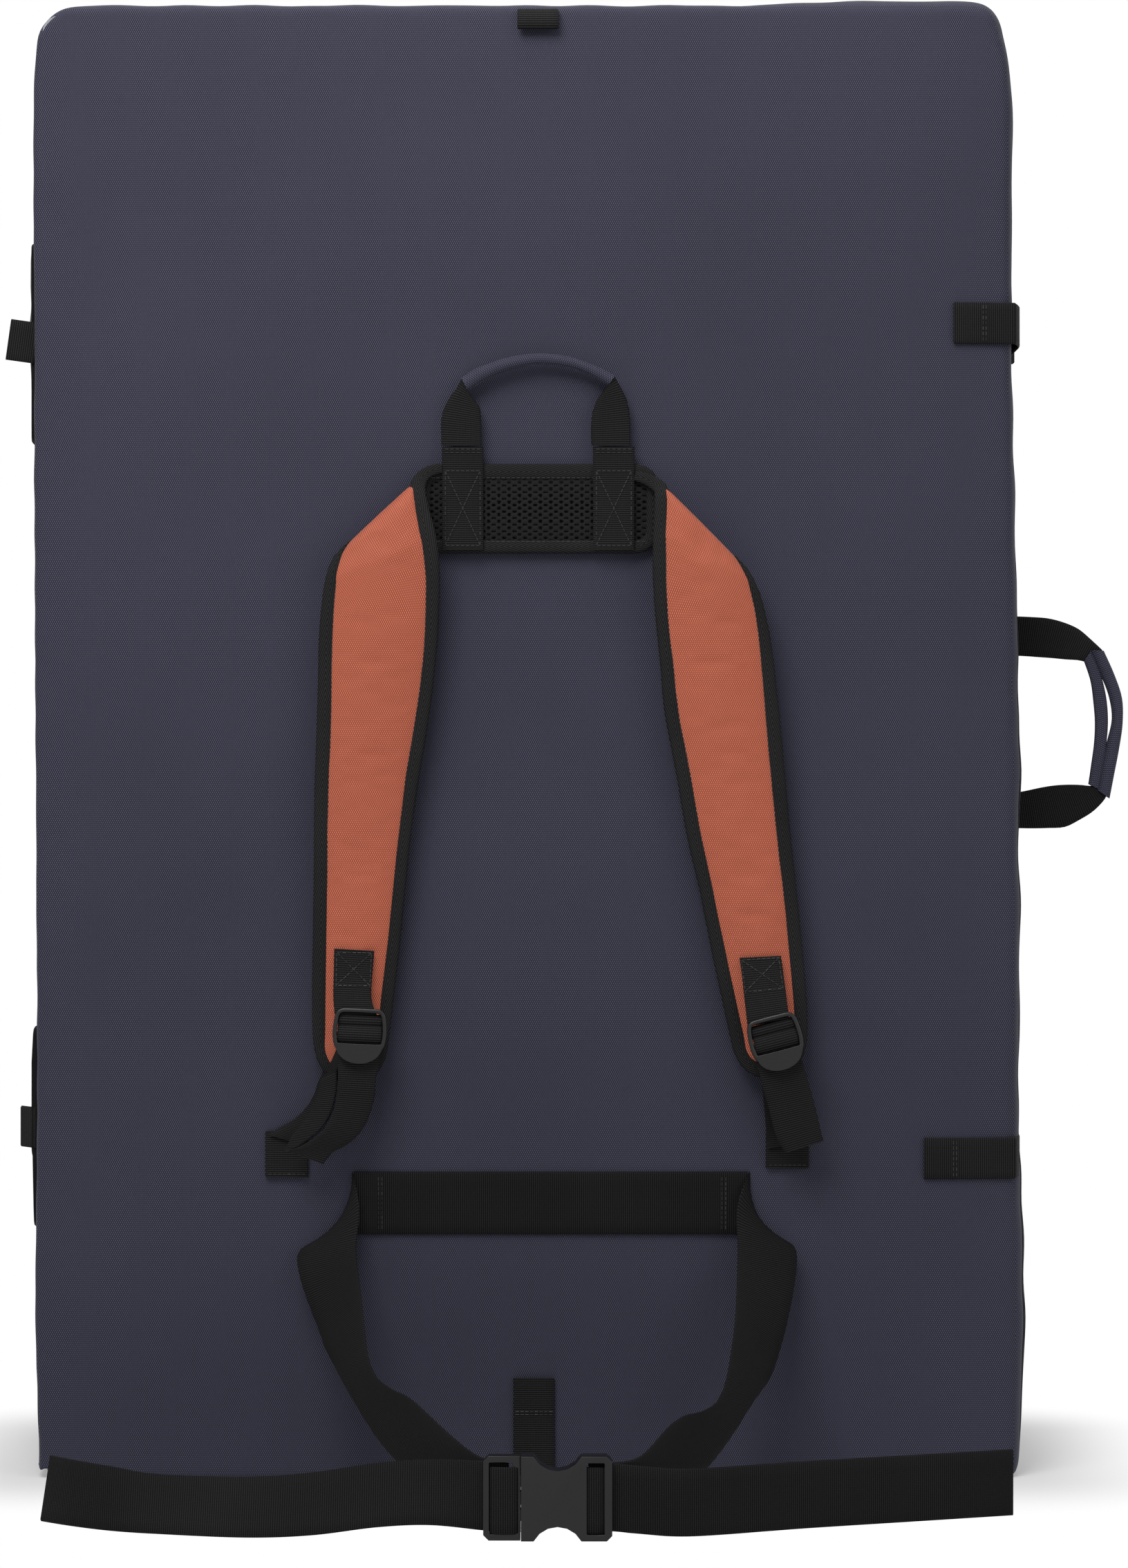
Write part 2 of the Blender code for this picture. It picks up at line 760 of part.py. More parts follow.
def turned_end(radius):
    """Places (along, out) of webbing that runs under a bar, round it and back on itself.

    The first layer runs at 0 out, and the bar's middle is one radius out from it.
    """
    places = [(-radius, 0)]
    for k in range(6):
        angle = math.pi * turn_share * k / 5
        places.append((radius * math.sin(angle), radius - radius * math.cos(angle)))
    second = webbing_thickness + 2 * fit_gap
    places += [(along * radius, second) for along in turned_back_shares]
    return places


# How much narrower the ladder lock's thumb lip is at its tip
lip_taper_share = 0.32


def make_ladder_lock(label, bar_place, frame, tilt):
    """The moulded adjuster: side rails, two bars and a bent thumb lip."""
    windows = lock_width - 2 * lock_rail
    bar_z = lock_height / 2 - lock_bar / 2
    upper_top = lock_height / 2 - lock_bar
    lower_top = upper_top - lock_upper_window - lock_bar
    lip_top = lower_top - lock_lower_window
    corner = lock_rail / 3
    holes = [
        rounded_outline(windows, lock_upper_window, corner, 1, (0, upper_top - lock_upper_window / 2)),
        rounded_outline(windows, lock_lower_window, corner, 1, (0, lower_top - lock_lower_window / 2)),
    ]
    bm = plate(rounded_outline(lock_width, lock_height, lock_corner, 3), holes, lock_plate)
    for vert in bm.verts:
        below = lip_top - fit_gap - vert.co.z
        if below > 0:
            depth = below / (lip_top + lock_height / 2)
            vert.co.x *= 1 - lip_taper_share * depth**2
            vert.co.y -= lock_lip_bend * depth
        vert.co = bar_place + frame @ (vert.co - UP * bar_z)
    place_piece(f"{label}_ladder_lock", bm, PLASTIC, 0.4, tilt)
    return upper_top - lock_upper_window - lock_bar / 2 - bar_z, lip_top - bar_z


# Webbing threaded through the ladder lock: places beside its middle bar, in turn radii
load_side_shares = [(1.75, -3.9), (1.68, -2.0), (1.25, -0.85)]
tail_side_shares = [(-0.88, -0.70), (0.08, -1.14), (0.92, -1.66)]

# Where each tail hangs and each lower webbing bows: out, down and back, in tail lengths
left_tail_shares = [(0, 0.28, 0), (-0.05, 0.56, 0), (-0.19, 0.80, 0.02), (-0.37, 0.98, 0.04)]
right_tail_shares = [(0.05, 0.22, 0), (0.11, 0.42, 0.01), (0.18, 0.62, 0.02), (0.24, 0.80, 0.03)]
left_load_shares = [(0.45, 0.06, 0.02), (0.80, 0.02, 0.03)]
right_load_shares = [(0.45, 0, 0.02), (0.80, 0, 0.03)]


def make_strap_hardware(label, rows, pivot, lock_place, lock_turn, anchor, tail_shares, load_shares):
    """Webbing tab, ladder lock, adjusting webbing, lower webbing and anchor of one strap."""
    turn = Matrix.Rotation(-lock_turn, 3, "Y")
    frame = turn @ Matrix.Rotation(-lock_lean, 3, "X")
    radius = wrap_radius(lock_bar, lock_plate)
    lock_x, lock_z = lock_place
    bar = Vector((lock_x, 0, lock_z)) + turn @ UP * (lock_height - lock_bar) / 2
    bar.y = strap_front_y(rows, bar.z + strap_tab_length) - webbing_seat - radius
    tilt = joint_empty(f"{label}_lock_axis", bar)
    middle_z, lip_z = make_ladder_lock(label, bar, frame, tilt)

    across = turn @ Vector((1, 0, 0))
    over = narrow_webbing - thread_margin / 2
    layer = bar - FRONT * radius
    down = turn @ -UP
    places = [(-strap_tab_length, 0), (-strap_tab_length / 2, 0)] + turned_end(radius)
    route = [layer + down * along + FRONT * out for along, out in places]
    place_piece(f"{label}_strap_tab", webbing_across(route, across, over), BLACK, 0.75, pivot)

    wrap = [Vector((0, radius * back, middle_z + radius * up)) for back, up in load_side_shares]
    for k in range(5):
        angle = math.pi * k / 4
        wrap.append(Vector((0, radius * math.cos(angle), middle_z + radius * math.sin(angle))))
    wrap += [Vector((0, radius * back, middle_z + radius * up)) for back, up in tail_side_shares]
    wrap.append(Vector((0, radius, lip_z - radius / 2)))
    wrap.append(Vector((0, radius, lip_z - radius * 2)))
    route = [bar + frame @ p for p in wrap]
    load_end = route[0]
    hang = route[-1]
    sides = [across] * len(route)
    for out, drop, back in tail_shares:
        route.append(hang + Vector((out, back, -drop)) * tail_length)
    for i in range(len(sides), len(route)):
        sides.append(direction_along(route, i).cross(FRONT))
    bm = webbing_across(route, sides, over)
    place_piece(f"{label}_strap_tail", bm, BLACK, 0.75, tilt)

    anchor_x, anchor_z = anchor
    start = load_end - UP * 2 * running_gap
    lowest = Vector((anchor_x, face_plane - webbing_seat - webbing_thickness - fit_gap, anchor_z))
    points = [start]
    for share, out, back in load_shares:
        points.append(start.lerp(lowest, share) + Vector((out, back, 0)) * tail_length)
    points.append(lowest)
    route = smooth_route(points, 2 * len(points))
    sides = [across] + [direction_along(route, i).cross(FRONT) for i in range(1, len(route))]
    place_piece(f"{label}_lower_webbing", webbing_across(route, sides, over), BLACK, 0.75)
    foot = anchor_z - anchor_height / 2
    head = anchor_z + anchor_height / 2
    sewn_strip(f"{label}_anchor_tab", (anchor_x, head), (anchor_x, foot), anchor_width, steps=2)


def make_shoulder_strap(label, side, shares, lock, lock_turn, anchor, tail, load):
    """A shoulder strap with everything that hangs from it."""
    rows = strap_rows(side, shares)
    normals = strap_normals(rows)
    root = rows[0][0]
    place = (root.x, face_plane - seat_gap, root.z + strap_pivot_rise)
    pivot = joint_empty(f"{label}_strap_axis", place)
    make_strap_binding(label, rows, normals, pivot)
    make_shoulder_pad(label, rows, normals, pivot)
    make_strap_hardware(label, rows, pivot, lock, lock_turn, anchor, tail, load)


def make_shoulder_straps():
    lock = (left_lock_x, strap_root_height - left_lock_drop)
    anchor = (left_anchor_x, left_anchor_z)
    routes = (left_tail_shares, left_load_shares)
    make_shoulder_strap("left", -1, left_strap_shares, lock, left_lock_turn, anchor, *routes)
    lock = (right_lock_x, strap_root_height - right_lock_drop)
    anchor = (right_anchor_x, right_anchor_z)
    routes = (right_tail_shares, right_load_shares)
    make_shoulder_strap("right", 1, right_strap_shares, lock, right_lock_turn, anchor, *routes)


# Belt wings from the patch to the buckle: out, forward and up, then the direction across the webbing
left_wing_shares = [
    (-1.006, 0.0075, 1.000, 0.00, 0.00, 1.00),
    (-1.130, 0.0704, 0.847, 0.95, -0.20, 0.25),
    (-1.053, 0.1960, 0.629, 0.70, -0.45, 0.55),
    (-0.945, 0.3970, 0.438, 0.53, -0.80, 0.20),
    (-0.653, 0.6980, 0.275, 0.30, -0.20, 0.93),
    (-0.384, 0.9200, 0.165, 0.10, -0.06, 1.00),
    (-0.240, 0.9720, 0.141, 0.00, 0.00, 1.00),
]
right_wing_shares = [
    (1.007, 0.0075, 1.000, 0.00, 0.00, 1.00),
    (1.092, 0.0704, 0.852, -0.95, -0.20, 0.25),
    (1.023, 0.2460, 0.537, -0.70, -0.45, 0.55),
    (0.896, 0.4970, 0.363, -0.53, -0.80, 0.20),
    (0.624, 0.7740, 0.240, -0.30, -0.20, 0.93),
    (0.440, 0.9400, 0.157, -0.05, -0.03, 1.00),
    (0.310, 0.9860, 0.141, 0.00, 0.00, 1.00),
    (0.215, 0.9886, 0.141, 0.00, 0.00, 1.00),
]

# Belt tails on the floor: out and back in tail reaches, and how far each has sunk to the floor
left_belt_tail_shares = [
    (0.008, 0.0028, 0),
    (0.030, 0.0028, 0),
    (0.058, 0.0028, 0),
    (0.120, 0.004, 0.4),
    (0.220, 0.014, 1),
    (0.480, 0.083, 1),
    (0.740, 0.166, 1),
    (1.000, 0.258, 1),
]
right_belt_tail_shares = [
    (0.000, -0.0018, 0),
    (0.020, -0.0018, 0),
    (0.060, -0.0018, 0),
    (0.120, 0.006, 0.4),
    (0.240, 0.035, 1),
    (0.500, 0.140, 1),
    (0.750, 0.230, 1),
    (1.000, 0.320, 1),
]


def belt_wing(label, shares, joint):
    """Hip-belt webbing from the patch, folded down and forward to the buckle."""
    points = []
    turns = []
    for out, forward, up, *across in shares:
        x = patch_centre_x + out * patch_length / 2
        points.append(Vector((x, face_plane - forward * belt_forward, up * patch_centre_z)))
        turns.append(Vector(across))
    count = 3 * (len(points) - 1)
    route = smooth_route(points, count)
    sides = smooth_route(turns, count)
    place_piece(f"{label}_belt_wing", webbing_across(route, sides, wide_webbing), BLACK, 0.75, joint)


def belt_tail(label, side, start_x, reach, shares, joint):
    """Spare belt webbing that stands on its edge on the floor."""
    points = []
    floor_z = wide_webbing / 2 + belt_floor_gap
    for out, back, sunk in shares:
        z = buckle_z + (floor_z - buckle_z) * sunk
        points.append(Vector((start_x + side * out * reach, belt_plane + back * reach, z)))
    route = smooth_route(points, 3 * (len(points) - 1))
    place_piece(f"{label}_belt_tail", webbing_across(route, UP, wide_webbing), BLACK, 0.75, joint)


def scooped_outline(length, height):
    """The female buckle's outline, from its mouth at 0, with a thumb scoop above and below."""
    reach = math.sqrt(scoop_radius**2 - (scoop_radius - scoop_depth) ** 2)
    spread = math.asin(reach / scoop_radius)
    corner = buckle_corner
    points = [(0, -height / 2)]
    for k in range(7):
        angle = spread * (k / 3 - 1)
        z = scoop_radius * math.cos(angle) - scoop_radius + scoop_depth
        points.append((scoop_x + scoop_radius * math.sin(angle), z - height / 2))
    points += [(length - corner, -height / 2), (length, -height / 2 + corner)]
    return points + [(x, -z) for x, z in reversed(points)]


def make_buckle(belt, slide):
    """Side-release buckle: the female is fixed to the belt and the male slides out of it."""
    rail_gap = buckle_height - 2 * buckle_rail
    start = fit_gap
    window_x = female_length - female_end_bar - female_window / 2
    window = rounded_outline(female_window, rail_gap, buckle_rail / 8, 1, (window_x, 0))
    bm = plate(scooped_outline(female_length, buckle_height), [window], buckle_thickness)
    place = slide.location + Vector((start, 0, 0))
    bmesh.ops.translate(bm, verts=bm.verts, vec=place)
    female = place_piece("buckle_female", bm, PLASTIC, 0.4, belt)
    local = place - belt.location
    half_gap = female_throat_gap / 2
    half_mouth = female_throat_height / 2
    low = local + Vector((-start, -half_gap, -half_mouth))
    high = local + Vector((female_throat_depth, half_gap, half_mouth))
    cut_away(female, "buckle_throat", low, high)
    behind = female_bar_thickness - buckle_thickness / 2
    low = local + Vector((window_x, behind, -rail_gap / 2))
    high = local + Vector((female_length + running_gap, buckle_thickness, rail_gap / 2))
    cut_away(female, "female_bar_channel", low, high)

    left = -male_frame_length
    half = buckle_height / 2
    corner = buckle_corner
    lower = [(left, -half + corner), (left + corner, -half), (0, -half)]
    inner = prong_spacing / 2 - prong_width / 2
    outer = prong_spacing / 2 + prong_width / 2
    tip = prong_width / 3
    lower += [(0, -outer), (prong_length - tip, -outer), (prong_length, -outer + tip)]
    lower += [(prong_length, -inner - tip), (prong_length - tip, -inner), (0, -inner)]
    lower += [(0, -guide_width / 2), (prong_length - tip, -guide_width / 2)]
    outline = lower + [(x, -z) for x, z in reversed(lower)]
    window_length = male_frame_length - male_end_bar - male_inner_bar
    window_x = -male_inner_bar - window_length / 2
    window = rounded_outline(window_length, rail_gap, buckle_rail / 8, 1, (window_x, 0))
    bm = plate(outline, [window], male_plate)
    bmesh.ops.translate(bm, verts=bm.verts, vec=slide.location)
    male = place_piece("buckle_male", bm, PLASTIC, 0.4, slide)
    behind = male_bar_thickness - male_plate / 2
    low = (left - running_gap, behind, -rail_gap / 2)
    high = (window_x, male_plate, rail_gap / 2)
    cut_away(male, "male_bar_channel", low, high)


def make_belt():
    """Hip belt, which swings about the upper edge of its patch."""
    half = patch_length / 2
    start = (patch_centre_x - half, patch_centre_z)
    finish = (patch_centre_x + half, patch_centre_z)
    sewn_strip("lumbar_patch", start, finish, wide_webbing, steps=10)
    edge_z = patch_centre_z + wide_webbing / 2 + fit_gap
    belt = joint_empty("belt_axis", (patch_centre_x, face_plane, edge_z))
    slide = joint_empty("buckle_axis", (buckle_x, belt_plane, buckle_z))
    belt_wing("left", left_wing_shares, belt)
    belt_wing("right", right_wing_shares, belt)
    left_start = buckle_x - male_inner_bar - running_gap
    right_start = buckle_x + female_length - female_end_bar - female_window + 2 * running_gap
    belt_tail("left", -1, left_start, left_tail_reach, left_belt_tail_shares, slide)
    belt_tail("right", 1, right_start, right_tail_reach, right_belt_tail_shares, belt)
    make_buckle(belt, slide)


# Closure strap over the pad's edge: places down the wall, in half thicknesses from its middle
closure_wall_shares = [-0.93, -0.80, -0.56, -0.22]

# Catch loop: places along it and how far each stands off the wall
catch_loop_shares = [(0, 0), (0.14, 0.1), (0.28, 0.75), (0.42, 1)]
catch_loop_shares += [(1 - along, rise) for along, rise in reversed(catch_loop_shares)]


def make_closure(label, sewn, z, fold):
    """Strap sewn to the face and led over the edge to a hook, with its catch loop behind."""
    edge = half_width - 2 * webbing_seat
    points = []
    for k in range(4):
        x = half_width - sewn + (edge - half_width + sewn) * k / 3
        points.append(Vector((x, face_y(x, z) - webbing_seat, z)))
    points.append(Vector((half_width + webbing_seat, -half_thickness - webbing_seat, z)))
    for share in closure_wall_shares:
        y = share * half_thickness
        points.append(Vector((half_width + side_bulge(y, wall_bulge) + webbing_seat, y, z)))
    crest = half_width + wall_bulge + webbing_seat
    radius = wrap_radius(hook_bar, hook_plate)
    points.append(Vector((crest, closure_bar_y - closure_fold_length - 2 * radius, z)))
    right = Vector((1, 0, 0))
    back = Vector((0, 1, 0))
    layer = Vector((crest, closure_bar_y, z))
    points += [layer + back * along + right * out for along, out in turned_end(radius)]
    bm = webbing_across(points, UP, narrow_webbing)
    place_piece(f"{label}_closure_strap", bm, BLACK, 0.75)

    bar = layer + right * radius
    hinge = joint_empty(f"{label}_hook_axis", bar)
    half = hook_width / 2
    slot_gap = hook_width - 2 * hook_rail
    start = -hook_bar / 2
    finish = start + hook_length
    slot_x = hook_bar / 2 + hook_slot / 2
    eye_start = hook_bar / 2 + hook_slot + hook_rail
    eye_end = eye_start + hook_eye
    mouth = half - hook_rail
    outline = [(start, -half), (eye_start, -half), (eye_start, mouth), (eye_end, mouth)]
    outline += [(eye_end, -half + hook_mouth), (eye_end + hook_rail / 2, -half)]
    outline += [(finish, -half + hook_mouth), (finish, half - hook_mouth / 2)]
    outline += [(finish - hook_mouth / 2, half), (start, half)]
    slot = rounded_outline(hook_slot, slot_gap, hook_rail / 8, 1, (slot_x, 0))
    bm = plate(outline, [slot], hook_plate)
    bmesh.ops.transform(bm, verts=bm.verts, matrix=Matrix.Rotation(math.pi / 2, 4, "Z"))
    bmesh.ops.translate(bm, verts=bm.verts, vec=bar)
    place_piece(f"{label}_hook", bm, PLASTIC, 0.4, hinge)

    catch_start = closure_bar_y + hook_length + catch_gap
    points = []
    for along, rise in catch_loop_shares:
        y = catch_start + along * catch_length
        wall = half_width + side_bulge(y - rear_middle, wall_bulge)
        points.append(Vector((wall + webbing_seat + rise * catch_rise, y, z)))
    bm = webbing_across(points, UP, catch_width)
    place_piece(f"{label}_catch_loop", bm, BLACK, 0.75, fold)


# Loop in the top seam: places in front of and above the seam, in drops
top_tab_shares = [
    (-0.08, 0.10),
    (-0.34, 0.02),
    (-0.54, -0.30),
    (-0.60, -0.62),
    (-0.50, -0.80),
    (-0.38, -0.66),
    (-0.35, -0.42),
    (-0.25, -0.24),
]


def make_sewn_tabs():
    """Loop in the top seam and the strap above the base."""
    seam = Vector((top_tab_x, -half_thickness, pad_height))
    points = [seam + Vector((0, forward, up)) * top_tab_drop for forward, up in top_tab_shares]
    bm = webbing_across(smooth_route(points, 14), Vector((1, 0, 0)), narrow_webbing)
    place_piece("top_tab", bm, BLACK, 0.75)
    foot = (bottom_strap_x, base_flat_depth)
    sewn_strip("bottom_strap", (bottom_strap_x, bottom_strap_top), foot, narrow_webbing, steps=4)


# Where a flap's cloth bends on its way back to its seam
flap_depth_shares = (0.3, 0.55, 0.8, 1)


def make_flap(label, z):
    """Fabric flap on the hinge-side wall, sewn at its rear edge, with a webbing pull tab."""
    front_y = -half_thickness + flap_front_setback
    rows = [(front_y, flap_height - 2 * flap_corner), (front_y + flap_corner, flap_height)]
    rows += [(front_y + flap_depth * share, flap_height) for share in flap_depth_shares]
    points = []
    for y, _ in rows:
        x = -half_width - side_bulge(y, hinge_wall_bulge) - seat_gap - flap_thickness / 2
        points.append(Vector((x, y, z)))
    hinge = joint_empty(f"{label}_flap_axis", points[-1] + Vector((0, running_gap, 0)))
    bm = webbing_across(points, UP, [height for _, height in rows], flap_thickness)
    place_piece(f"{label}_flap", bm, BLACK, 0.8, hinge)
    start = points[0] + Vector((flap_thickness / 2 - running_gap, -webbing_seat, 0))
    route = [start, start - Vector((pull_tab_length, 0, 0))]
    bm = webbing_across(route, UP, pull_tab_height)
    place_piece(f"{label}_pull_tab", bm, BLACK, 0.75, hinge)


def make_carry_handle():
    """Side handle, sewn into the front half's landing seam on the opening side."""
    y = half_thickness - carry_seam_setback
    x = half_width + side_bulge(y, wall_bulge)
    joint = joint_empty("carry_handle_axis", (x, y, carry_z))
    right = Vector((1, 0, 0))
    sizes = (carry_leg_spacing, carry_wall_gap, carry_leg_reach, carry_rise, 14)
    routes = handle_routes(joint.location, right, UP, *sizes)
    bm = handle_webbing(*routes, FRONT, carry_core_width, carry_core_depth)
    place_piece("carry_handle_webbing", bm, BLACK, 0.75, joint)
    bm = sleeve(routes[1][1:-1], FRONT, carry_grip_width, carry_grip_thickness, 10)
    place_piece("carry_handle_grip", bm, NAVY, 0.6, joint)


def main():
    clear_scene()
    fold = joint_empty("fold_axis", (hinge_axis_x, landing_plane, 0))
    make_half("front", 0)
    make_half("rear", rear_middle, fold)
    make_hinge_leaves(fold)
    make_yoke()
    make_haul_handle()
    make_shoulder_straps()
    make_belt()
    make_closure("upper", upper_closure_sewn, upper_closure_z, fold)
    make_closure("lower", lower_closure_sewn, lower_closure_z, fold)
    make_sewn_tabs()
    make_flap("upper", upper_flap_z)
    make_flap("lower", lower_flap_z)
    make_carry_handle()


main()
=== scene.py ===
import itertools
import json
import math

import bmesh
import bpy
from mathutils import Matrix, Vector, noise
from mathutils.bvhtree import BVHTree


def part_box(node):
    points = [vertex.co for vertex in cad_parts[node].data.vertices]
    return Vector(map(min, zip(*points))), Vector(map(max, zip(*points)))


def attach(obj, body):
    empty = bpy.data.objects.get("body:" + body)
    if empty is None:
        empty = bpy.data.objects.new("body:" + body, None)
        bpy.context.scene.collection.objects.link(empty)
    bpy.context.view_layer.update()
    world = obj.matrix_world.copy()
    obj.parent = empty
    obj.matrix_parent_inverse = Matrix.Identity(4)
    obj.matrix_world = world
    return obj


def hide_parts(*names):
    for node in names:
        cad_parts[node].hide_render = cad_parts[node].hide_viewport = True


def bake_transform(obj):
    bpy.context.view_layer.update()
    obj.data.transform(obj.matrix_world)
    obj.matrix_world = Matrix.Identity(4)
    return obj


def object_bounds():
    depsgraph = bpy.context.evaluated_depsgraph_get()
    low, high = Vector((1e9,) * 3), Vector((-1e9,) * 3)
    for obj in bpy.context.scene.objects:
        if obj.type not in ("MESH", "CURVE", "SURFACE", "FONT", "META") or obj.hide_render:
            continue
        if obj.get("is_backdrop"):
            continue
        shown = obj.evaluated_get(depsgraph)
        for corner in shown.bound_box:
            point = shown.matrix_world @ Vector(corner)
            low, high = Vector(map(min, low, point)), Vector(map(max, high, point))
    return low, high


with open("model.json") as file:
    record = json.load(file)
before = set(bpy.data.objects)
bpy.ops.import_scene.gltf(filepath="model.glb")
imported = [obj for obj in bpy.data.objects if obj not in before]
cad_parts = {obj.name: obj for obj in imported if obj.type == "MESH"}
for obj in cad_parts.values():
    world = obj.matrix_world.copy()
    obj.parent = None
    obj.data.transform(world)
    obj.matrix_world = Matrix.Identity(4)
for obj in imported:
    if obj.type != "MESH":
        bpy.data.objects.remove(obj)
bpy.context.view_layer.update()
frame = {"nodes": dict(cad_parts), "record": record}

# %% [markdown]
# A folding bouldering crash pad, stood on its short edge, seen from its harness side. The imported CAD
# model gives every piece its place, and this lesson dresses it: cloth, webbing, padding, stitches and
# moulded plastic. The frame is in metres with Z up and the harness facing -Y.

FRONT = Vector((0, -1, 0))
RIGHT = Vector((1, 0, 0))
UP = Vector((0, 0, 1))

# %% [markdown]
# The photograph was taken level with the middle of the pad and about two and a half metres away, with a
# long lens. A camera there needs no shift: the pad's perspective, such as how little of its right wall
# shows, then comes out as it is in the photograph.

# %% Camera
camera_data = bpy.data.cameras.new("studio_camera")
camera = bpy.data.objects.new("studio_camera", camera_data)
bpy.context.scene.collection.objects.link(camera)
camera_place = (0.0236, -2.551, 0.42)
lens_mm = 95.03
camera.location = camera_place
camera.rotation_euler = (math.radians(90), 0, 0)
camera_data.lens = lens_mm
camera_data.sensor_width = 36
camera_data.clip_end = 50
bpy.context.scene.camera = camera
bpy.context.scene.view_settings.view_transform = "Standard"
print("camera at", camera_place, "lens", lens_mm, "mm")

# %% [markdown]
# A node helper keeps the materials short. It makes one shader node, sets its numbers and joins its inputs
# to other nodes' outputs. Numbers that are the same all over a surface are written straight on the
# shader's own sockets, because an export drops them otherwise.

# %% Node helpers
def add_node(tree, kind, values=None, links=None, **settings):
    """A shader node with its settings, its inputs' values and its inputs' links."""
    node = tree.nodes.new(kind)
    for key, value in settings.items():
        setattr(node, key, value)
    for key, value in (values or {}).items():
        node.inputs[key].default_value = value
    for key, output in (links or {}).items():
        tree.links.new(output, node.inputs[key])
    return node


def calculate(tree, operation, first, second=None, clamp=False):
    """One Math node; each input is a number or another node's output."""
    node = tree.nodes.new("ShaderNodeMath")
    node.operation = operation
    node.use_clamp = clamp
    for slot, value in zip(node.inputs, (first, second)):
        if isinstance(value, (int, float)):
            slot.default_value = value
        elif value is not None:
            tree.links.new(value, slot)
    return node.outputs[0]


def mix_colours(tree, share, first, second, blend="MIX"):
    """A colour mixer; each colour is an RGB triple or another node's output."""
    node = tree.nodes.new("ShaderNodeMix")
    node.data_type = "RGBA"
    node.blend_type = blend
    for key, value in ((0, share), (6, first), (7, second)):
        if isinstance(value, tuple):
            node.inputs[key].default_value = (*value, 1)
        elif isinstance(value, (int, float)):
            node.inputs[key].default_value = value
        else:
            tree.links.new(value, node.inputs[key])
    return node.outputs[2]


def new_material(name, roughness, specular=0.4, sheen=0.0):
    """A material, its node tree and its shader, with the numbers that hold all over the surface."""
    material = bpy.data.materials.new(name)
    material.use_nodes = True
    tree = material.node_tree
    shader = tree.nodes["Principled BSDF"]
    shader.inputs["Roughness"].default_value = roughness
    shader.inputs["Specular IOR Level"].default_value = specular
    if sheen:
        shader.inputs["Sheen Weight"].default_value = sheen
        shader.inputs["Sheen Roughness"].default_value = 0.4
    return material, tree, shader


def set_bump(tree, shader, height, distance, strength=1.0):
    """Raises a surface by a height pattern, up to a distance in metres."""
    bump = add_node(tree, "ShaderNodeBump", {"Distance": distance, "Strength": strength}, {"Height": height})
    tree.links.new(bump.outputs["Normal"], shader.inputs["Normal"])


print("node helpers ready")

# %% [markdown]
# The room is a pale floor and a white surround. Only rays from the camera, and those that a glossy or
# clear surface sends on, see pure white, so the white ground costs the pad little extra light. Close to
# the pad the floor is a real, shadow-catching surface that is also painted grey, a painted shade for the
# pad's contact shadow, and it fades to plain white a hand's breadth away.

# %% Room
def rays_that_see_white(tree):
    """1 for a camera, glossy or transmission ray, and 0 for the diffuse rays that carry most of the light."""
    path = add_node(tree, "ShaderNodeLightPath")
    mirrored = calculate(tree, "MAXIMUM", path.outputs["Is Glossy Ray"], path.outputs["Is Transmission Ray"])
    return calculate(tree, "MAXIMUM", path.outputs["Is Camera Ray"], mirrored)


surround_light = 0.27
paper_white = 0.80
pad_foot_middle = (0, 0.045, 0)
pad_foot_half = (0.290, 0.088, 1)
shadow_reach = 0.13
white_at_pad = 0.30
world = bpy.data.worlds.new("studio_world")
bpy.context.scene.world = world
world.use_nodes = True
tree = world.node_tree
tree.nodes.clear()
seen = rays_that_see_white(tree)
glow = add_node(tree, "ShaderNodeBackground", {"Color": (1, 1, 1, 1), "Strength": surround_light})
white = add_node(tree, "ShaderNodeBackground", {"Color": (1, 1, 1, 1), "Strength": 1.0})
choice = add_node(tree, "ShaderNodeMixShader", links={0: seen, 1: glow.outputs[0], 2: white.outputs[0]})
add_node(tree, "ShaderNodeOutputWorld", links={"Surface": choice.outputs[0]})


def vector_step(tree, operation, first, second=(0, 0, 0)):
    """One Vector Math node on another node's output, with a fixed second vector."""
    return add_node(tree, "ShaderNodeVectorMath", {1: second}, {0: first}, operation=operation)


floor_size = 8
floor_drop = 0.0006


def make_floor():
    """A wide floor just under the pad, catching real shadow and painted grey near it, and plain white further
    off.
    """
    bm = bmesh.new()
    bmesh.ops.create_grid(bm, x_segments=1, y_segments=1, size=floor_size)
    bmesh.ops.translate(bm, verts=bm.verts, vec=(0, 0, -floor_drop))
    mesh = bpy.data.meshes.new("studio_floor")
    bm.to_mesh(mesh)
    bm.free()
    floor = bpy.data.objects.new("studio_floor", mesh)
    bpy.context.scene.collection.objects.link(floor)
    material = bpy.data.materials.new("studio_floor")
    material.use_nodes = True
    tree = material.node_tree
    tree.nodes.clear()
    place = add_node(tree, "ShaderNodeTexCoord")
    centred = vector_step(tree, "SUBTRACT", place.outputs["Object"], pad_foot_middle)
    folded = vector_step(tree, "ABSOLUTE", centred.outputs[0])
    past = vector_step(tree, "SUBTRACT", folded.outputs[0], pad_foot_half)
    outside = vector_step(tree, "MAXIMUM", past.outputs[0])
    away = vector_step(tree, "LENGTH", outside.outputs[0])
    paper = add_node(tree, "ShaderNodeBsdfDiffuse", {"Color": (paper_white, paper_white, paper_white, 1)})
    lit = add_node(tree, "ShaderNodeEmission", {"Color": (1, 1, 1, 1), "Strength": 1.0})
    # Painted shade: by distance from the pad's foot the floor turns grey, on top of the real shadow its
    # diffuse part catches.
    near = add_node(
        tree, "ShaderNodeMapRange",
        {"From Min": 0.0, "From Max": shadow_reach, "To Min": white_at_pad, "To Max": 1.0},
        {"Value": away.outputs["Value"]}, interpolation_type="SMOOTHSTEP",
    )
    share = calculate(tree, "MULTIPLY", near.outputs[0], rays_that_see_white(tree))
    mixed = add_node(tree, "ShaderNodeMixShader", links={0: share, 1: paper.outputs[0], 2: lit.outputs[0]})
    add_node(tree, "ShaderNodeOutputMaterial", links={"Surface": mixed.outputs[0]})
    mesh.materials.append(material)
    floor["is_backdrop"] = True


make_floor()
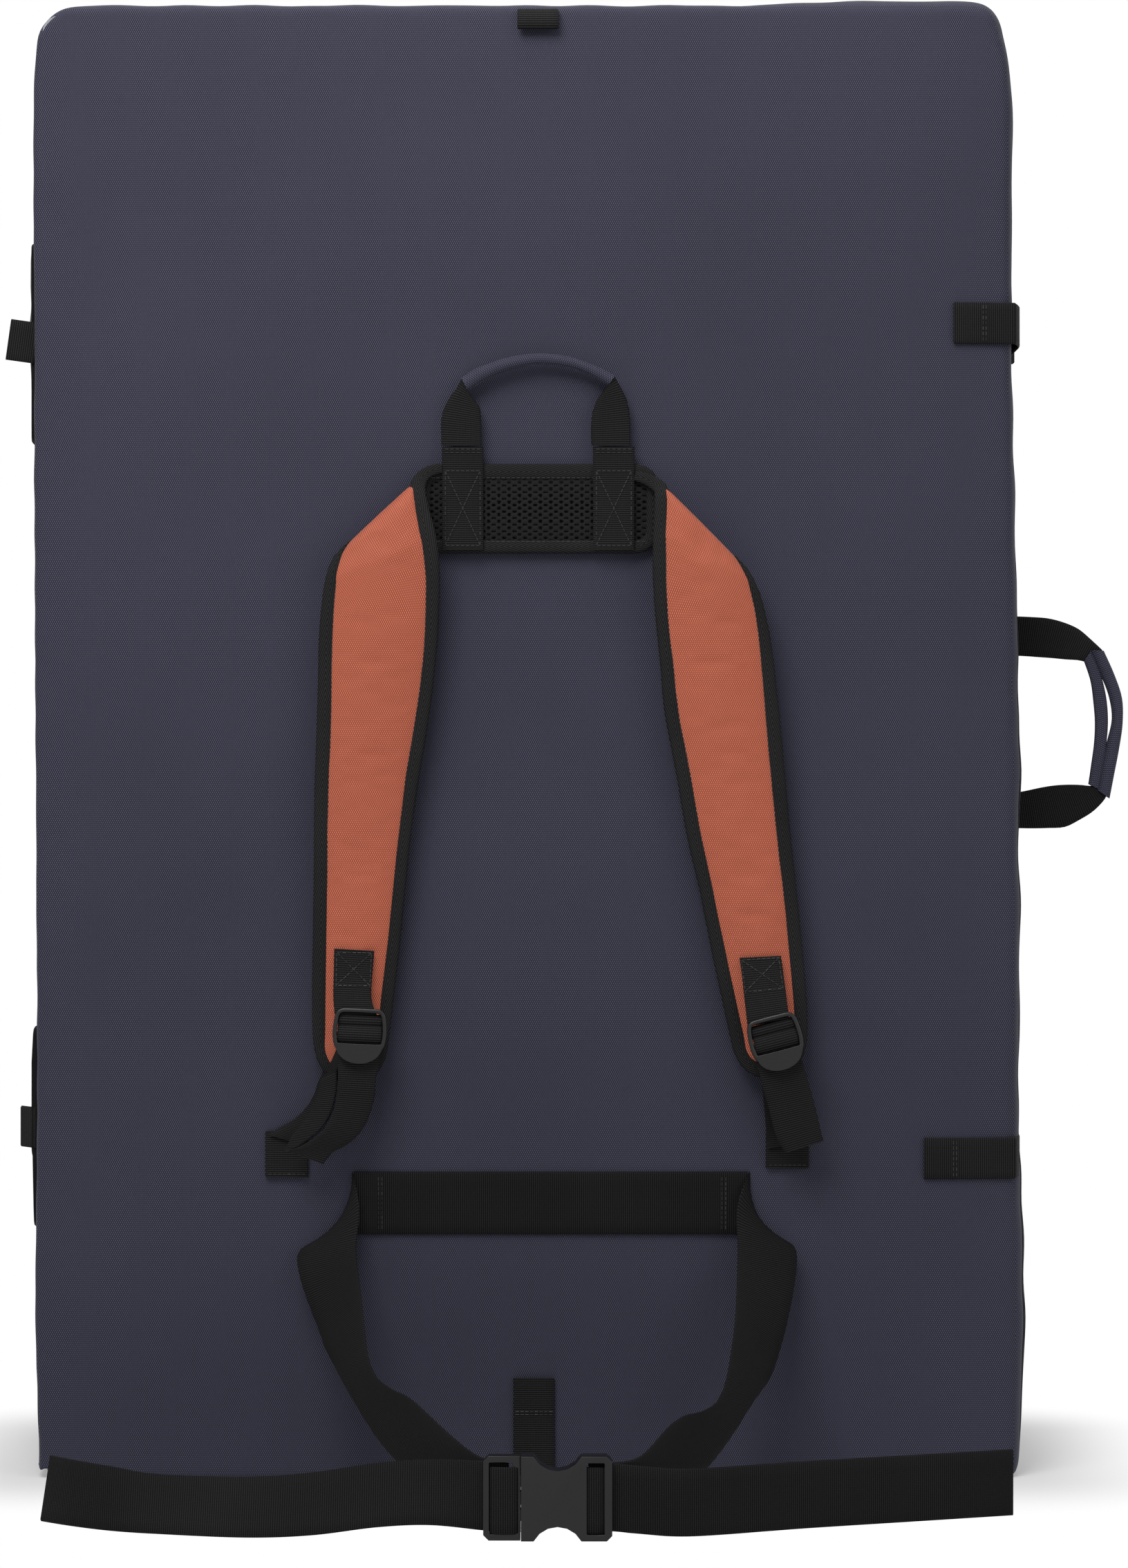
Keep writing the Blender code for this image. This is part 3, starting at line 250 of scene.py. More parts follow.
print("floor and white surround made")

# %% [markdown]
# The light in the photograph is broad and almost frontal, a little stronger from above and from the left.
# Three large area lamps give that. They are plain white, and their level makes a colour render about as
# it is written.

# %% Lamps
def area_lamp(name, place, aim, size, power):
    """A square lamp of a size in metres and a power in watts, turned to shine at a point."""
    lamp = bpy.data.lights.new(name, "AREA")
    lamp.shape = "SQUARE"
    lamp.size = size
    lamp.energy = power
    holder = bpy.data.objects.new(name, lamp)
    bpy.context.scene.collection.objects.link(holder)
    holder.location = place
    holder.rotation_euler = (Vector(aim) - Vector(place)).to_track_quat("-Z", "Y").to_euler()


lamps = {
    "key_lamp": ((-0.45, -1.25, 1.85), (0, 0, 0.70), 1.0, 23.5),
    "fill_lamp": ((1.9, -2.2, 1.5), (0, 0, 0.45), 1.6, 7),
    "top_lamp": ((0.2, -0.1, 2.4), (0, 0, 0.4), 1.4, 10),
}
for name, (place, aim, size, power) in lamps.items():
    area_lamp(name, place, aim, size, power)
print("lamps:", *lamps)

# %% [markdown]
# Every cloth here is woven, and its threads are about a millimetre apart, so the weave is a pattern and
# not a mesh. Each piece carries a UV map in metres: across a panel, or along and across a strap. The
# materials turn it into millimetres, so a thread has its real size on every piece. Two sines, one along
# each thread direction, are multiplied: where the product is high a thread lies on top, and where it is
# low there is a gap. Soft noise keeps the colour from being flat.

# %% Woven cloth
def millimetres(tree):
    """The piece's UV map in millimetres, split into along and across."""
    place = add_node(tree, "ShaderNodeTexCoord")
    scaled = vector_step(tree, "MULTIPLY", place.outputs["UV"], (1000, 1000, 1000))
    parts = add_node(tree, "ShaderNodeSeparateXYZ", links={0: scaled.outputs[0]})
    return place, parts.outputs[0], parts.outputs[1]


def wave(tree, way, size, kind="SINE"):
    """A wave of a size in millimetres along one thread direction."""
    return calculate(tree, kind, calculate(tree, "MULTIPLY", way, 2 * math.pi / size))


def vary(tree, place, colour, scale, amount):
    """Slow lighter and darker areas over a colour, as in used cloth."""
    spot = {"Vector": place.outputs["Object"]}
    cloud = add_node(tree, "ShaderNodeTexNoise", {"Scale": scale, "Detail": 3.0}, spot)
    level = add_node(
        tree, "ShaderNodeMapRange",
        {"From Min": 0.3, "From Max": 0.7, "To Min": 1 - amount, "To Max": 1 + amount},
        {"Value": cloud.outputs[0]},
    )
    grey = add_node(tree, "ShaderNodeCombineColor", links={k: level.outputs[0] for k in range(3)})
    return mix_colours(tree, 1.0, colour, grey.outputs[0], "MULTIPLY")


def woven_cloth(name, bright, dark, pitch, roughness, sheen=0.0, bump=0.0002, amount=0.07, specular=0.3):
    """Plain weave: raised threads at the even crossings of two sines, gaps at the odd ones."""
    material, tree, shader = new_material(name, roughness, specular, sheen)
    place, *ways = millimetres(tree)
    crossing = calculate(tree, "MULTIPLY", *(wave(tree, way, size) for way, size in zip(ways, pitch)))
    rows = wave(tree, ways[pitch.index(max(pitch))], max(pitch) / 2, "COSINE")
    threads = calculate(tree, "MULTIPLY", crossing, 0.75)
    height = calculate(tree, "SUBTRACT", threads, calculate(tree, "MULTIPLY", rows, 0.18))
    raised = calculate(tree, "ADD", height, 0.5, clamp=True)
    colour = mix_colours(tree, raised, dark, bright)
    tree.links.new(vary(tree, place, colour, 6.0, amount), shader.inputs["Base Color"])
    set_bump(tree, shader, raised, bump, 0.5)
    return material


thread_pitch = (1.24, 2.43)
navy_cloth = woven_cloth(
    "navy_ballistic_cloth", (0.092, 0.092, 0.138), (0.010, 0.010, 0.018), thread_pitch,
    roughness=0.66, sheen=0.06, specular=0.10,
)
black_cloth = woven_cloth(
    "black_coated_cloth", (0.007, 0.007, 0.008), (0.002, 0.002, 0.002), thread_pitch,
    roughness=0.70, bump=0.00015, specular=0.06,
)
orange_cloth = woven_cloth(
    "orange_shoulder_cloth", (0.720, 0.208, 0.118), (0.240, 0.036, 0.017), thread_pitch[::-1],
    roughness=0.68, sheen=0.1, bump=0.00022, amount=0.06,
)
print("woven cloths:", navy_cloth.name, black_cloth.name, orange_cloth.name)

# %% [markdown]
# Webbing is ribbed straight across its width. Its UV map runs along the strap, so a sine of that length
# gives the ribs, and a finer one across gives the warp threads between them. Binding tape has a
# herringbone instead: the same sine, of the length plus the distance from the tape's middle. The mesh of
# the yoke is one with staggered oval holes, with painted shade inside them, and their pitch is used for
# its shape too.

# %% Webbing and binding tape
hole_pitch = (0.00626, 0.00392)


def ribbed(name, light, dark, rib, thread, herringbone=False, bump=0.0003):
    """Webbing with ribs and threads of those sizes in millimetres, or tape with a herringbone."""
    material, tree, shader = new_material(name, 0.66, 0.05)
    place, along, across = millimetres(tree)
    ridges, between = along, across
    if herringbone:
        outward = calculate(tree, "MULTIPLY", calculate(tree, "ABSOLUTE", across), 0.90)
        ridges, between = calculate(tree, "ADD", calculate(tree, "MULTIPLY", along, 0.30), outward), along
    threads = calculate(tree, "MULTIPLY", wave(tree, between, thread), 0.35)
    height = calculate(tree, "ADD", wave(tree, ridges, rib), threads)
    share = calculate(tree, "MULTIPLY", calculate(tree, "ADD", height, 1.35), 0.37, clamp=True)
    colour = mix_colours(tree, share, dark, light)
    tree.links.new(vary(tree, place, colour, 14.0, 0.12), shader.inputs["Base Color"])
    set_bump(tree, shader, share, bump, 0.8)
    return material


webbing_weave = ribbed("black_webbing", (0.030, 0.030, 0.031), (0.002, 0.002, 0.002), 1.29, 0.95)
belt_weave = ribbed("black_belt_webbing", (0.024, 0.024, 0.025), (0.002, 0.002, 0.002), 1.26, 0.95)
binding_weave = ribbed(
    "binding_tape", (0.036, 0.036, 0.037), (0.003, 0.003, 0.003), 1.07, 0.87,
    herringbone=True, bump=0.00025,
)


def spacer_mesh(name):
    """Knitted mesh, with painted shade inside its staggered oval holes."""
    material, tree, shader = new_material(name, 0.8, 0.05)
    _, *ways = millimetres(tree)
    rows = [wave(tree, way, 1000 * size, "COSINE") for way, size in zip(ways, hole_pitch)]
    openings = calculate(tree, "MULTIPLY", *rows)
    # Painted shade: inside each oval hole the colour turns near black, standing in for the shade there.
    hole = calculate(tree, "MULTIPLY", calculate(tree, "SUBTRACT", openings, 0.22), 3.3, clamp=True)
    threads = calculate(tree, "MULTIPLY", *(wave(tree, way, size) for way, size in zip(ways, (0.9, 0.62))))
    knit = calculate(tree, "ADD", calculate(tree, "MULTIPLY", threads, 0.4), 0.55)
    yarn = mix_colours(tree, knit, (0.004, 0.004, 0.004), (0.030, 0.030, 0.032))
    tree.links.new(mix_colours(tree, hole, yarn, (0.0008, 0.0008, 0.0008)), shader.inputs["Base Color"])
    set_bump(tree, shader, knit, 0.0002, 0.6)
    return material


yoke_weave = spacer_mesh("black_spacer_mesh")
print("ribbed weaves:", webbing_weave.name, belt_weave.name, binding_weave.name, yoke_weave.name)

# %% [markdown]
# The buckle, ladder locks and hooks are moulded acetal: nearly black, satin, with a faint grain left by
# the mould. The flaps are brushed loop fabric, the sewing thread is nearly black, and the foam inside is
# open-celled.

# %% Plastic, loop fabric, thread and foam
def grained(name, colour, roughness, scale, bump, specular=0.5, sheen=0.0, amount=0.05):
    """One colour with a fine grain over it; a larger scale is a finer grain."""
    material, tree, shader = new_material(name, roughness, specular, sheen)
    place = add_node(tree, "ShaderNodeTexCoord")
    base = add_node(tree, "ShaderNodeRGB")
    base.outputs[0].default_value = (*colour, 1)
    tree.links.new(vary(tree, place, base.outputs[0], scale / 20, amount), shader.inputs["Base Color"])
    spot = {"Vector": place.outputs["Object"]}
    grain = add_node(tree, "ShaderNodeTexNoise", {"Scale": scale, "Detail": 2.0}, spot)
    set_bump(tree, shader, grain.outputs[0], bump, 0.5)
    return material


moulded_plastic = grained("moulded_plastic", (0.006, 0.006, 0.007), 0.30, 900, 0.00008, 0.34)
loop_fabric = grained("brushed_loop_fabric", (0.007, 0.007, 0.008), 0.9, 1400, 0.0006, 0.2, 0.1, 0.15)
black_thread = grained("black_thread", (0.009, 0.009, 0.010), 0.55, 1500, 0.00005)
firm_foam = grained("firm_foam", (0.350, 0.360, 0.380), 0.9, 700, 0.0005, 0.2)
soft_foam = grained("soft_foam", (0.720, 0.700, 0.620), 0.9, 450, 0.0008, 0.2)
print("plain finishes ready")

# %% [markdown]
# One helper turns a finished bmesh into a piece: it smooths the shading, gives it its material, hangs it
# on the CAD body it rides on and hides the CAD nodes it stands for. Panels that face along an axis get
# their UV map by looking at them along that axis, in metres.

# %% Making a piece
bodies_of = {node: body for body, nodes in frame["record"]["behaviour"]["bodies"].items() for node in nodes}


def map_flat(bm):
    """UV in metres, from the axis that each face looks along."""
    layer = bm.loops.layers.uv.verify()
    bm.normal_update()
    for face in bm.faces:
        n = face.normal
        axis = max(range(3), key=lambda k: abs(n[k]))
        for loop in face.loops:
            co = loop.vert.co
            loop[layer].uv = ((co.y, co.z), (co.x, co.z), (co.x, co.y))[axis]


def make_piece(name, bm, material, body, replaced=(), sharp=40, mapped=False):
    """A piece from a finished bmesh; edges sharper than that many degrees stay sharp."""
    if not mapped:
        map_flat(bm)
    mesh = bpy.data.meshes.new(name)
    bm.to_mesh(mesh)
    bm.free()
    mesh.materials.append(material)
    mesh.shade_smooth()
    mesh.set_sharp_from_angle(angle=math.radians(sharp))
    piece = bpy.data.objects.new(name, mesh)
    bpy.context.scene.collection.objects.link(piece)
    if body:
        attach(piece, body)
    if replaced:
        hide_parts(*replaced)
    return piece


def apply_modifiers(piece):
    """Puts a piece's modifiers into its mesh."""
    bpy.context.view_layer.update()
    shown = piece.evaluated_get(bpy.context.evaluated_depsgraph_get())
    mesh = bpy.data.meshes.new_from_object(shown)
    piece.modifiers.clear()
    piece.data = mesh


print("piece helper ready for", len(bodies_of), "CAD nodes")

# %% [markdown]
# Each half of the pad is a sewn box of cloth over foam, rounder at its top corners than at its foot. The
# front half's middle is at y = 0, and the rear half lies behind it with a gap of three millimetres.

# %% Sizes of the pad
pad_width = 0.590
pad_height = 0.8900
pad_thickness = 0.090
corner_radius = {(-1, 1): 0.022, (1, 1): 0.015, (-1, -1): 0.007, (1, -1): 0.007}
face_crown = 0.006
seam_depth = 0.010
rear_middle = 0.093
half_width = pad_width / 2
half_height = pad_height / 2
half_thickness = pad_thickness / 2
print("panel", pad_width, "by", pad_height)

# %% [markdown]
# The sewn outline leans in and out a little. Four tables say so, from the top down: the heights, where
# the right panel's edge is, where the right wall's swell is, and how far the left edge stands out.
# Between two heights a value is found in proportion. Small functions then say, for any point of a half,
# how near a seam it is and which way is out there, and how much the cloth puckers along the seam.

# %% The sewn outline
outline_heights = (
    0.8774, 0.8668, 0.8605, 0.8521, 0.8394, 0.7803, 0.7550, 0.7213, 0.6791, 0.6453, 0.6031, 0.5609,
    0.5314, 0.4540, 0.4320, 0.4100, 0.3711, 0.3500, 0.3078, 0.2234, 0.1812, 0.1390, 0.0968, 0.0377, 0.0209,
)
right_panel_edge = (
    0.2850, 0.2886, 0.2900, 0.2908, 0.2920, 0.2920, 0.2918, 0.2920, 0.2922, 0.2926, 0.2934, 0.2938,
    0.2946, 0.2946, 0.2950, 0.2946, 0.2952, 0.2956, 0.2955, 0.2952, 0.2956, 0.2960, 0.2962, 0.2958, 0.2955,
)
right_wall_edge = (
    0.2915, 0.2946, 0.2963, 0.2976, 0.2984, 0.2984, 0.2971, 0.2980, 0.2976, 0.2984, 0.2997, 0.3001,
    0.3014, 0.3022, 0.3052, 0.3022, 0.3023, 0.3035, 0.3027, 0.3022, 0.3034, 0.3057, 0.3065, 0.3044, 0.3023,
)
left_edge_out = (
    0.0004, 0.0010, 0.0014, 0.0020, 0.0028, 0.0028, 0.0028, 0.0022, 0.0020, 0.0022, 0.0024, 0.0020,
    0.0020, 0.0016, 0.0014, 0.0012, 0.0010, 0.0012, 0.0006, 0.0004, 0.0008, 0.0014, 0.0018, 0.0000, -0.0006,
)


def read_off(height, heights, values):
    """A value at a height, from a table whose heights fall."""
    if height >= heights[0]:
        return values[0]
    for k in range(1, len(heights)):
        if height >= heights[k]:
            share = (heights[k - 1] - height) / (heights[k - 1] - heights[k])
            return values[k - 1] + (values[k] - values[k - 1]) * share
    return values[-1]


def leaning(x, y, z):
    """How far the sewn outline leans sideways at a point: all of it near an edge, and less further in."""
    near_edge = (abs(x) / half_width) ** 8
    if x > 0:
        return near_edge * (read_off(z, outline_heights, right_panel_edge) - half_width)
    in_front = min(max((-y - 0.027) / 0.010, 0), 1)
    return -near_edge * in_front * read_off(z, outline_heights, left_edge_out)


def crown_share(x, z):
    """1 in the middle of a panel and 0 along its seam."""
    return (1 - min(abs(x) / half_width, 1) ** 6) * (1 - min(abs(z - half_height) / half_height, 1) ** 6)


def seam_distance(x, z):
    """How far a point of the panel is inside the pad's outline, and the way out from there."""
    dx = half_width - abs(x)
    dz = half_height - abs(z - half_height)
    sx = math.copysign(1, x)
    sz = math.copysign(1, z - half_height)
    radius = corner_radius[int(sx), int(sz)]
    if dx < radius and dz < radius:
        out = Vector((sx * (radius - dx), 0, sz * (radius - dz)))
        return radius - out.length, out.normalized() if out.length > 1e-6 else Vector((sx, 0, 0))
    if dx < dz:
        return dx, Vector((sx, 0, 0))
    return dz, Vector((0, 0, sz))


def pucker(x, z, seed):
    """A wave along the seam, of uneven length, from -1 to 1."""
    along = x + z
    drift = noise.noise(Vector((along * 11, seed, 0.3)))
    strength = 0.45 + 0.55 * noise.noise(Vector((along * 7, seed + 5.1, 0.7)))
    return math.sin(along * 2 * math.pi / 0.034 + 5 * drift) * strength


print("outline read at", len(outline_heights), "heights")

# %% [markdown]
# We start from a cube, round its upright corners and both rims with bevels, cut it into a grid of about a
# centimetre, and then move the grid: the panels crown a little, the walls bulge between the seams, and
# the seams pucker where the thread draws the cloth together. Noise makes the puckers and the slow waves
# uneven, by a millimetre at most.

# %% The two padded halves
def box_mesh(low, high):
    """A cube from its low corner to its high one."""
    bm = bmesh.new()
    bmesh.ops.create_cube(bm, size=1)
    bmesh.ops.scale(bm, verts=bm.verts, vec=high - low)
    bmesh.ops.translate(bm, verts=bm.verts, vec=(low + high) / 2)
    return bm


def round_edges(bm, edges, size, segments, clamped=False):
    """Bevels edges by a size in metres."""
    bmesh.ops.bevel(
        bm, geom=edges, offset=size, segments=segments,
        affect="EDGES", profile=0.5, material=-1, clamp_overlap=clamped,
    )


def cut_grid(bm, axis, places):
    """Cuts a mesh across one axis at each of these places."""
    normal = [0, 0, 0]
    normal[axis] = 1
    for place in places:
        point = [0, 0, 0]
        point[axis] = place
        everything = bm.verts[:] + bm.edges[:] + bm.faces[:]
        bmesh.ops.bisect_plane(bm, geom=everything, plane_co=point, plane_no=normal)


def cut_evenly(bm, axis, low, high, count):
    """Cuts a mesh into that many equal slices between two places."""
    cut_grid(bm, axis, [low + (high - low) * k / count for k in range(1, count)])


grid_step = 0.011
rim_radius = 0.0045
wall_cuts = (-half_thickness + seam_depth, -0.022, -0.010, 0.002, 0.014, 0.026, 0.036)


def padded_box():
    """The cloth box of one half, rounded and cut into its grid."""
    bm = box_mesh(Vector((-half_width, -half_thickness, 0)), Vector((half_width, half_thickness, pad_height)))
    upright = [e for e in bm.edges if abs(e.verts[0].co.y - e.verts[1].co.y) > pad_thickness / 2]
    for edge in upright:
        x, _, z = (edge.verts[0].co + edge.verts[1].co) / 2
        radius = corner_radius[int(math.copysign(1, x)), int(math.copysign(1, z - half_height))]
        round_edges(bm, [edge], radius, 6)
    rims = [e for e in bm.edges if abs(e.verts[0].co.y - e.verts[1].co.y) < 1e-6 and len(e.link_faces) == 2
            and max(abs(f.normal.y) for f in e.link_faces) > 0.9]
    round_edges(bm, rims, rim_radius, 3)
    cut_evenly(bm, 0, -half_width, half_width, round(pad_width / grid_step))
    cut_evenly(bm, 2, 0, pad_height, round(pad_height / grid_step))
    cut_grid(bm, 1, wall_cuts)
    bmesh.ops.remove_doubles(bm, verts=bm.verts, dist=0.0016)
    return bm


def wall_bulge(x, y, z, out, seed):
    """How far a wall stands out past its seams."""
    level = 1 - min(abs(y) / half_thickness, 1) ** 4
    opening_side = max(out.x, 0) ** 2
    hinge_side = max(-out.x, 0)
    swell_edge = read_off(z, outline_heights, right_wall_edge)
    opening_swell = swell_edge - read_off(z, outline_heights, right_panel_edge)
    size = 0.005 * (1 - opening_side) + opening_swell * opening_side - 0.003 * hinge_side
    top_right = max(out.z, 0) * math.exp(-(((x - 0.225) / 0.07) ** 4))
    ripple = noise.noise(Vector((x * 30, y * 22 + seed, z * 30)))
    lumps = math.sin((x + z) * 2 * math.pi / 0.052 + 4 * noise.noise(Vector((z * 9, seed, x * 9))))
    return level * (size + 0.0040 * top_right + (1 - hinge_side) * (0.0007 * ripple + 0.0006 * lumps))


back_crown = 0.001
pucker_depth = 0.0011
slack_depth = 0.0009
seam_ripple = 0.0010
seam_reach = 0.015
foot_edge = 0.003
corner_lift = 0.006
corner_lift_reach = 0.035


def settle_cloth(bm, seed):
    """Moves the grid of a half: crown, wall bulge, seam puckers and slow waves."""
    for vert in bm.verts:
        x, y, z = vert.co
        inside, out = seam_distance(x, z)
        on_panel = abs(y) > half_thickness - 0.0004
        draw = math.exp(-max(inside, 0) / seam_reach)
        if on_panel:
            side = math.copysign(1, y)
            crown = face_crown if side < 0 else back_crown
            slow = 0.5 + 0.5 * noise.noise(Vector((x * 8, seed, z * 8)))
            folds = pucker_depth * draw * (pucker(x, z, seed) - 0.6) if side < 0 else 0
            vert.co.y += side * (crown * crown_share(x, z) - slack_depth * slow * (1 - draw) + folds)
        else:
            vert.co += out * wall_bulge(x, y, z, out, seed)
            near_seam = math.exp(-abs(y + half_thickness - 0.006) / 0.008)
            vert.co += out * seam_ripple * near_seam * pucker(x, z, seed + 2)
        vert.co.x += leaning(x, y, z)
        if vert.co.z < foot_edge:
            lift = corner_lift * math.exp(-(((x + half_width) / corner_lift_reach) ** 2))
            vert.co.z = max(0.0, min(vert.co.z, 0.001)) + lift


cloth_thickness = 0.0009


def make_half(label, body, middle, seed):
    """One half's navy panel and black shell; the rear half is the mirrored one."""
    base = padded_box()
    settle_cloth(base, seed)
    if middle:
        bmesh.ops.scale(base, verts=base.verts, vec=(1, -1, 1))
        bmesh.ops.translate(base, verts=base.verts, vec=(0, middle, 0))
        bmesh.ops.reverse_faces(base, faces=base.faces)
    parts = (
        ("base_panel", navy_cloth, "base_cover", True),
        ("landing_shell", black_cloth, "landing_cover", False),
    )
    seam = -half_thickness + seam_depth
    made = []
    for part, material, node, keep_navy in parts:
        bm = base.copy()
        dropped = []
        for face in bm.faces:
            y = face.calc_center_median().y - middle
            navy = (-y if middle else y) < seam
            if navy != keep_navy:
                dropped.append(face)
        bmesh.ops.delete(bm, geom=dropped, context="FACES")
        piece = make_piece(f"{label}_{part}", bm, material, body, [f"{label}_{node}"], 60)
        smooth = piece.modifiers.new("rounder", "SUBSURF")
        smooth.levels = smooth.render_levels = 1
        wall = piece.modifiers.new("cloth", "SOLIDIFY")
        wall.thickness = cloth_thickness
        wall.offset = -1
        made.append(piece)
    base.free()
    return made


front_panel, front_shell = make_half("front", "front_half", 0, 1.7)
rear_panel, rear_shell = make_half("rear", "rear_half", rear_middle, 8.3)
print("pad halves:", [len(o.data.polygons) for o in (front_panel, front_shell, rear_panel, rear_shell)])

# %% [markdown]
# Where the navy panel meets the black wall, the seam allowance is turned up and stands out as a thin lip.
# It runs along the top and down the opening side. It is one small rounded strip, swept along the pad's
# outline, and it wavers as sewn cloth does. The sweep that makes it also makes all the webbing further
# on.

# %% Sweeping a strip
def soft_profile(width, thickness, across=6):
    """A strip's whole section as (across, out) points: flat above and below, round at both edges."""
    radius = thickness * 0.55
    flat = width - 2 * radius
    half = [(-width / 2 + radius + flat * k / across, thickness / 2) for k in range(across + 1)]
    half += [(width / 2 - radius * 0.35, thickness * 0.36), (width / 2, 0)]
    return half + [(-a, -b) for a, b in half]


def tape_profile(width, thickness):
    """Binding tape folded round an edge: a rounded loop, fuller in the middle."""
    points = []
    for k in range(16):
        angle = 2 * math.pi * k / 16
        c, s = math.cos(angle), math.sin(angle)
        across = math.copysign(abs(c) ** 0.55, c) * width / 2
        points.append((across, math.copysign(abs(s) ** 0.7, s) * thickness / 2))
    return points


def put_in_order(bm):
    """Sorts edges and faces by their vertices, because a simulation follows their order."""
    bm.verts.index_update()
    for elements in (bm.edges, bm.faces):
        ranked = sorted(elements, key=lambda element: sorted(v.index for v in element.verts))
        rank = {element: place for place, element in enumerate(ranked)}
        elements.sort(key=rank.get)


def sweep(stations, profile_of=soft_profile):
    """A closed skin through stations of (middle, side, out, width, thickness), extruded from ring to ring."""
    bm = bmesh.new()
    layer = bm.loops.layers.uv.verify()
    travelled = {}
    offsets = {}
    previous = None
    length = 0.0
    for index, (middle, side, out, width, thickness) in enumerate(stations):
        profile = profile_of(width, thickness)
        ring = [middle + side * a + out * b for a, b in profile]
        if index == 0:
            verts = [bm.verts.new(p) for p in ring]
            face = bm.faces.new(verts)
        else:
            length += (middle - stations[index - 1][0]).length
            made = bmesh.ops.extrude_face_region(bm, geom=[face])["geom"]
            if previous:
                bmesh.ops.delete(bm, geom=[previous], context="FACES_ONLY")
            face = next(g for g in made if isinstance(g, bmesh.types.BMFace))
            previous = face
            verts = list(face.verts)
            for vert, point in zip(verts, ring):
                vert.co = point
        for vert, (a, b) in zip(verts, profile):
            travelled[vert] = length
            offsets[vert] = a
    for f in bm.faces:
        for loop in f.loops:
            loop[layer].uv = (travelled[loop.vert], offsets[loop.vert])
    bmesh.ops.recalc_face_normals(bm, faces=bm.faces)
    put_in_order(bm)
    return bm


def way_along(points, k):
    """The direction of a line of points at its point number k."""
    return (points[min(k + 1, len(points) - 1)] - points[max(k - 1, 0)]).normalized()


def even_line(places, spacing, passes=3):
    """Evenly spaced (point, width, thickness) along a line of them, smoothed a little."""
    joined = [Vector((point.x, point.y, point.z, width)) for point, width, _ in places]
    fills = [thickness for _, _, thickness in places]
    reach = [0.0]
    for a, b in zip(joined, joined[1:]):
        reach.append(reach[-1] + (b - a).length)
    count = round(reach[-1] / spacing)
    line = []
    thick = []
    k = 0
    for step in range(count + 1):
        target = reach[-1] * step / count
        while k < len(reach) - 2 and reach[k + 1] < target:
            k += 1
        share = (target - reach[k]) / (reach[k + 1] - reach[k])
        line.append(joined[k].lerp(joined[k + 1], share))
        thick.append(fills[k] + (fills[k + 1] - fills[k]) * share)
    for _ in range(passes):
        line = line[:1] + [(a + 2 * b + c) / 4 for a, b, c in zip(line, line[1:], line[2:])] + line[-1:]
    return [(here.to_3d(), here[3], fill) for here, fill in zip(line, thick)]


def turned_to(line, facing=FRONT):
    """Sweep stations along a line of (point, width, thickness), all turned to face one way."""
    points = [point for point, _, _ in line]
    stations = []
    for k, (point, width, thickness) in enumerate(line):
        ahead = way_along(points, k)
        out = (facing - ahead * facing.dot(ahead)).normalized()
        stations.append((point, ahead.cross(out), out, width, thickness))
    return stations


def outline_path(spacing=0.006):
    """Points and outward directions round the pad: top left corner, along the top, down the right side."""
    places = []

    def corner(sx, sz, start, finish):
        radius = corner_radius[sx, sz]
        middle = Vector((sx * (half_width - radius), 0, half_height + sz * (half_height - radius)))
        for k in range(8):
            angle = math.radians(start + (finish - start) * k / 7)
            out = Vector((math.cos(angle), 0, math.sin(angle)))
            places.append((middle + out * radius, out))

    def run_to(finish, out):
        start = places[-1][0]
        count = round((finish - start).length / spacing)
        places.extend((start.lerp(finish, k / count), out) for k in range(1, count))

    corner(-1, 1, 170, 90)
    run_to(Vector((half_width - corner_radius[1, 1], 0, pad_height)), UP)
    corner(1, 1, 90, 0)
    run_to(Vector((half_width, 0, corner_radius[1, -1])), RIGHT)
    corner(1, -1, 0, -70)
    return places


lip_width = 0.0046
lip_thickness = 0.0017


def seam_lip(label, body, seam_y):
    """The lip that stands out where a half's panel and its wall are sewn together."""
    stations = []
    path = outline_path()
    for index, (point, out) in enumerate(path):
        waver = noise.noise(Vector((point.x * 24, 3.1, point.z * 24)))
        lean = noise.noise(Vector((point.x * 13, 9.4, point.z * 13)))
        ends = min(index, len(path) - 1 - index, 6) / 6
        shift = Vector((leaning(point.x, -half_thickness, point.z), seam_y + 0.0011 * lean, 0))
        middle = point + out * (0.0003 * waver - 0.0008) + shift
        stations.append((middle, out, FRONT, lip_width * (0.6 + 0.4 * ends), lip_thickness))
    piece = make_piece(f"{label}_seam_lip", sweep(stations), navy_cloth, body, (), 60, mapped=True)
    print(piece.name, "has", len(path), "stations")


seam_lip("front", "front_half", -half_thickness + seam_depth - 0.0012)
seam_lip("rear", "rear_half", rear_middle + half_thickness - seam_depth + 0.0012)

# %% [markdown]
# Inside each half lie three layers: firm foam under the landing side, soft foam in the middle and a thin
# firm layer under the base. They never show, so each is a slab with round corners, and it stays where the
# CAD has it.

# %% Foam layers
foam_corner = 0.010
foam_play = 0.0010


def foam_layer(label, layer, material):
    """One slab, which leans with the cover on the opening side and stays a little inside it."""
    low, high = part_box(f"{label}_{layer}")
    bm = box_mesh(low, high)
    upright = [e for e in bm.edges if abs((e.verts[0].co - e.verts[1].co).normalized().y) > 0.9]
    round_edges(bm, upright, foam_corner, 5)
    cut_evenly(bm, 2, 0, high.z, 40)
    for vert in bm.verts:
        lean = leaning(vert.co.x, 0, vert.co.z) if vert.co.x > 0 else 0
        vert.co.x += lean - math.copysign(foam_play, vert.co.x)
    piece = make_piece(f"{label}_{layer}_slab", bm, material, f"{label}_half", [f"{label}_{layer}"], 30)


for label in ("front", "rear"):
    for layer, material in (("landing_foam", firm_foam), ("core_foam", soft_foam), ("base_foam", firm_foam)):
        foam_layer(label, layer, material)
print("six foam layers made")

# %% [markdown]
# Webbing runs all over this object, and each run's route is already in the CAD model, as a strap of plain
# rectangular sections. We read those sections back from the node: its end cap is a small rectangle, and
# the next four corners along are always the ones that touch the last four.

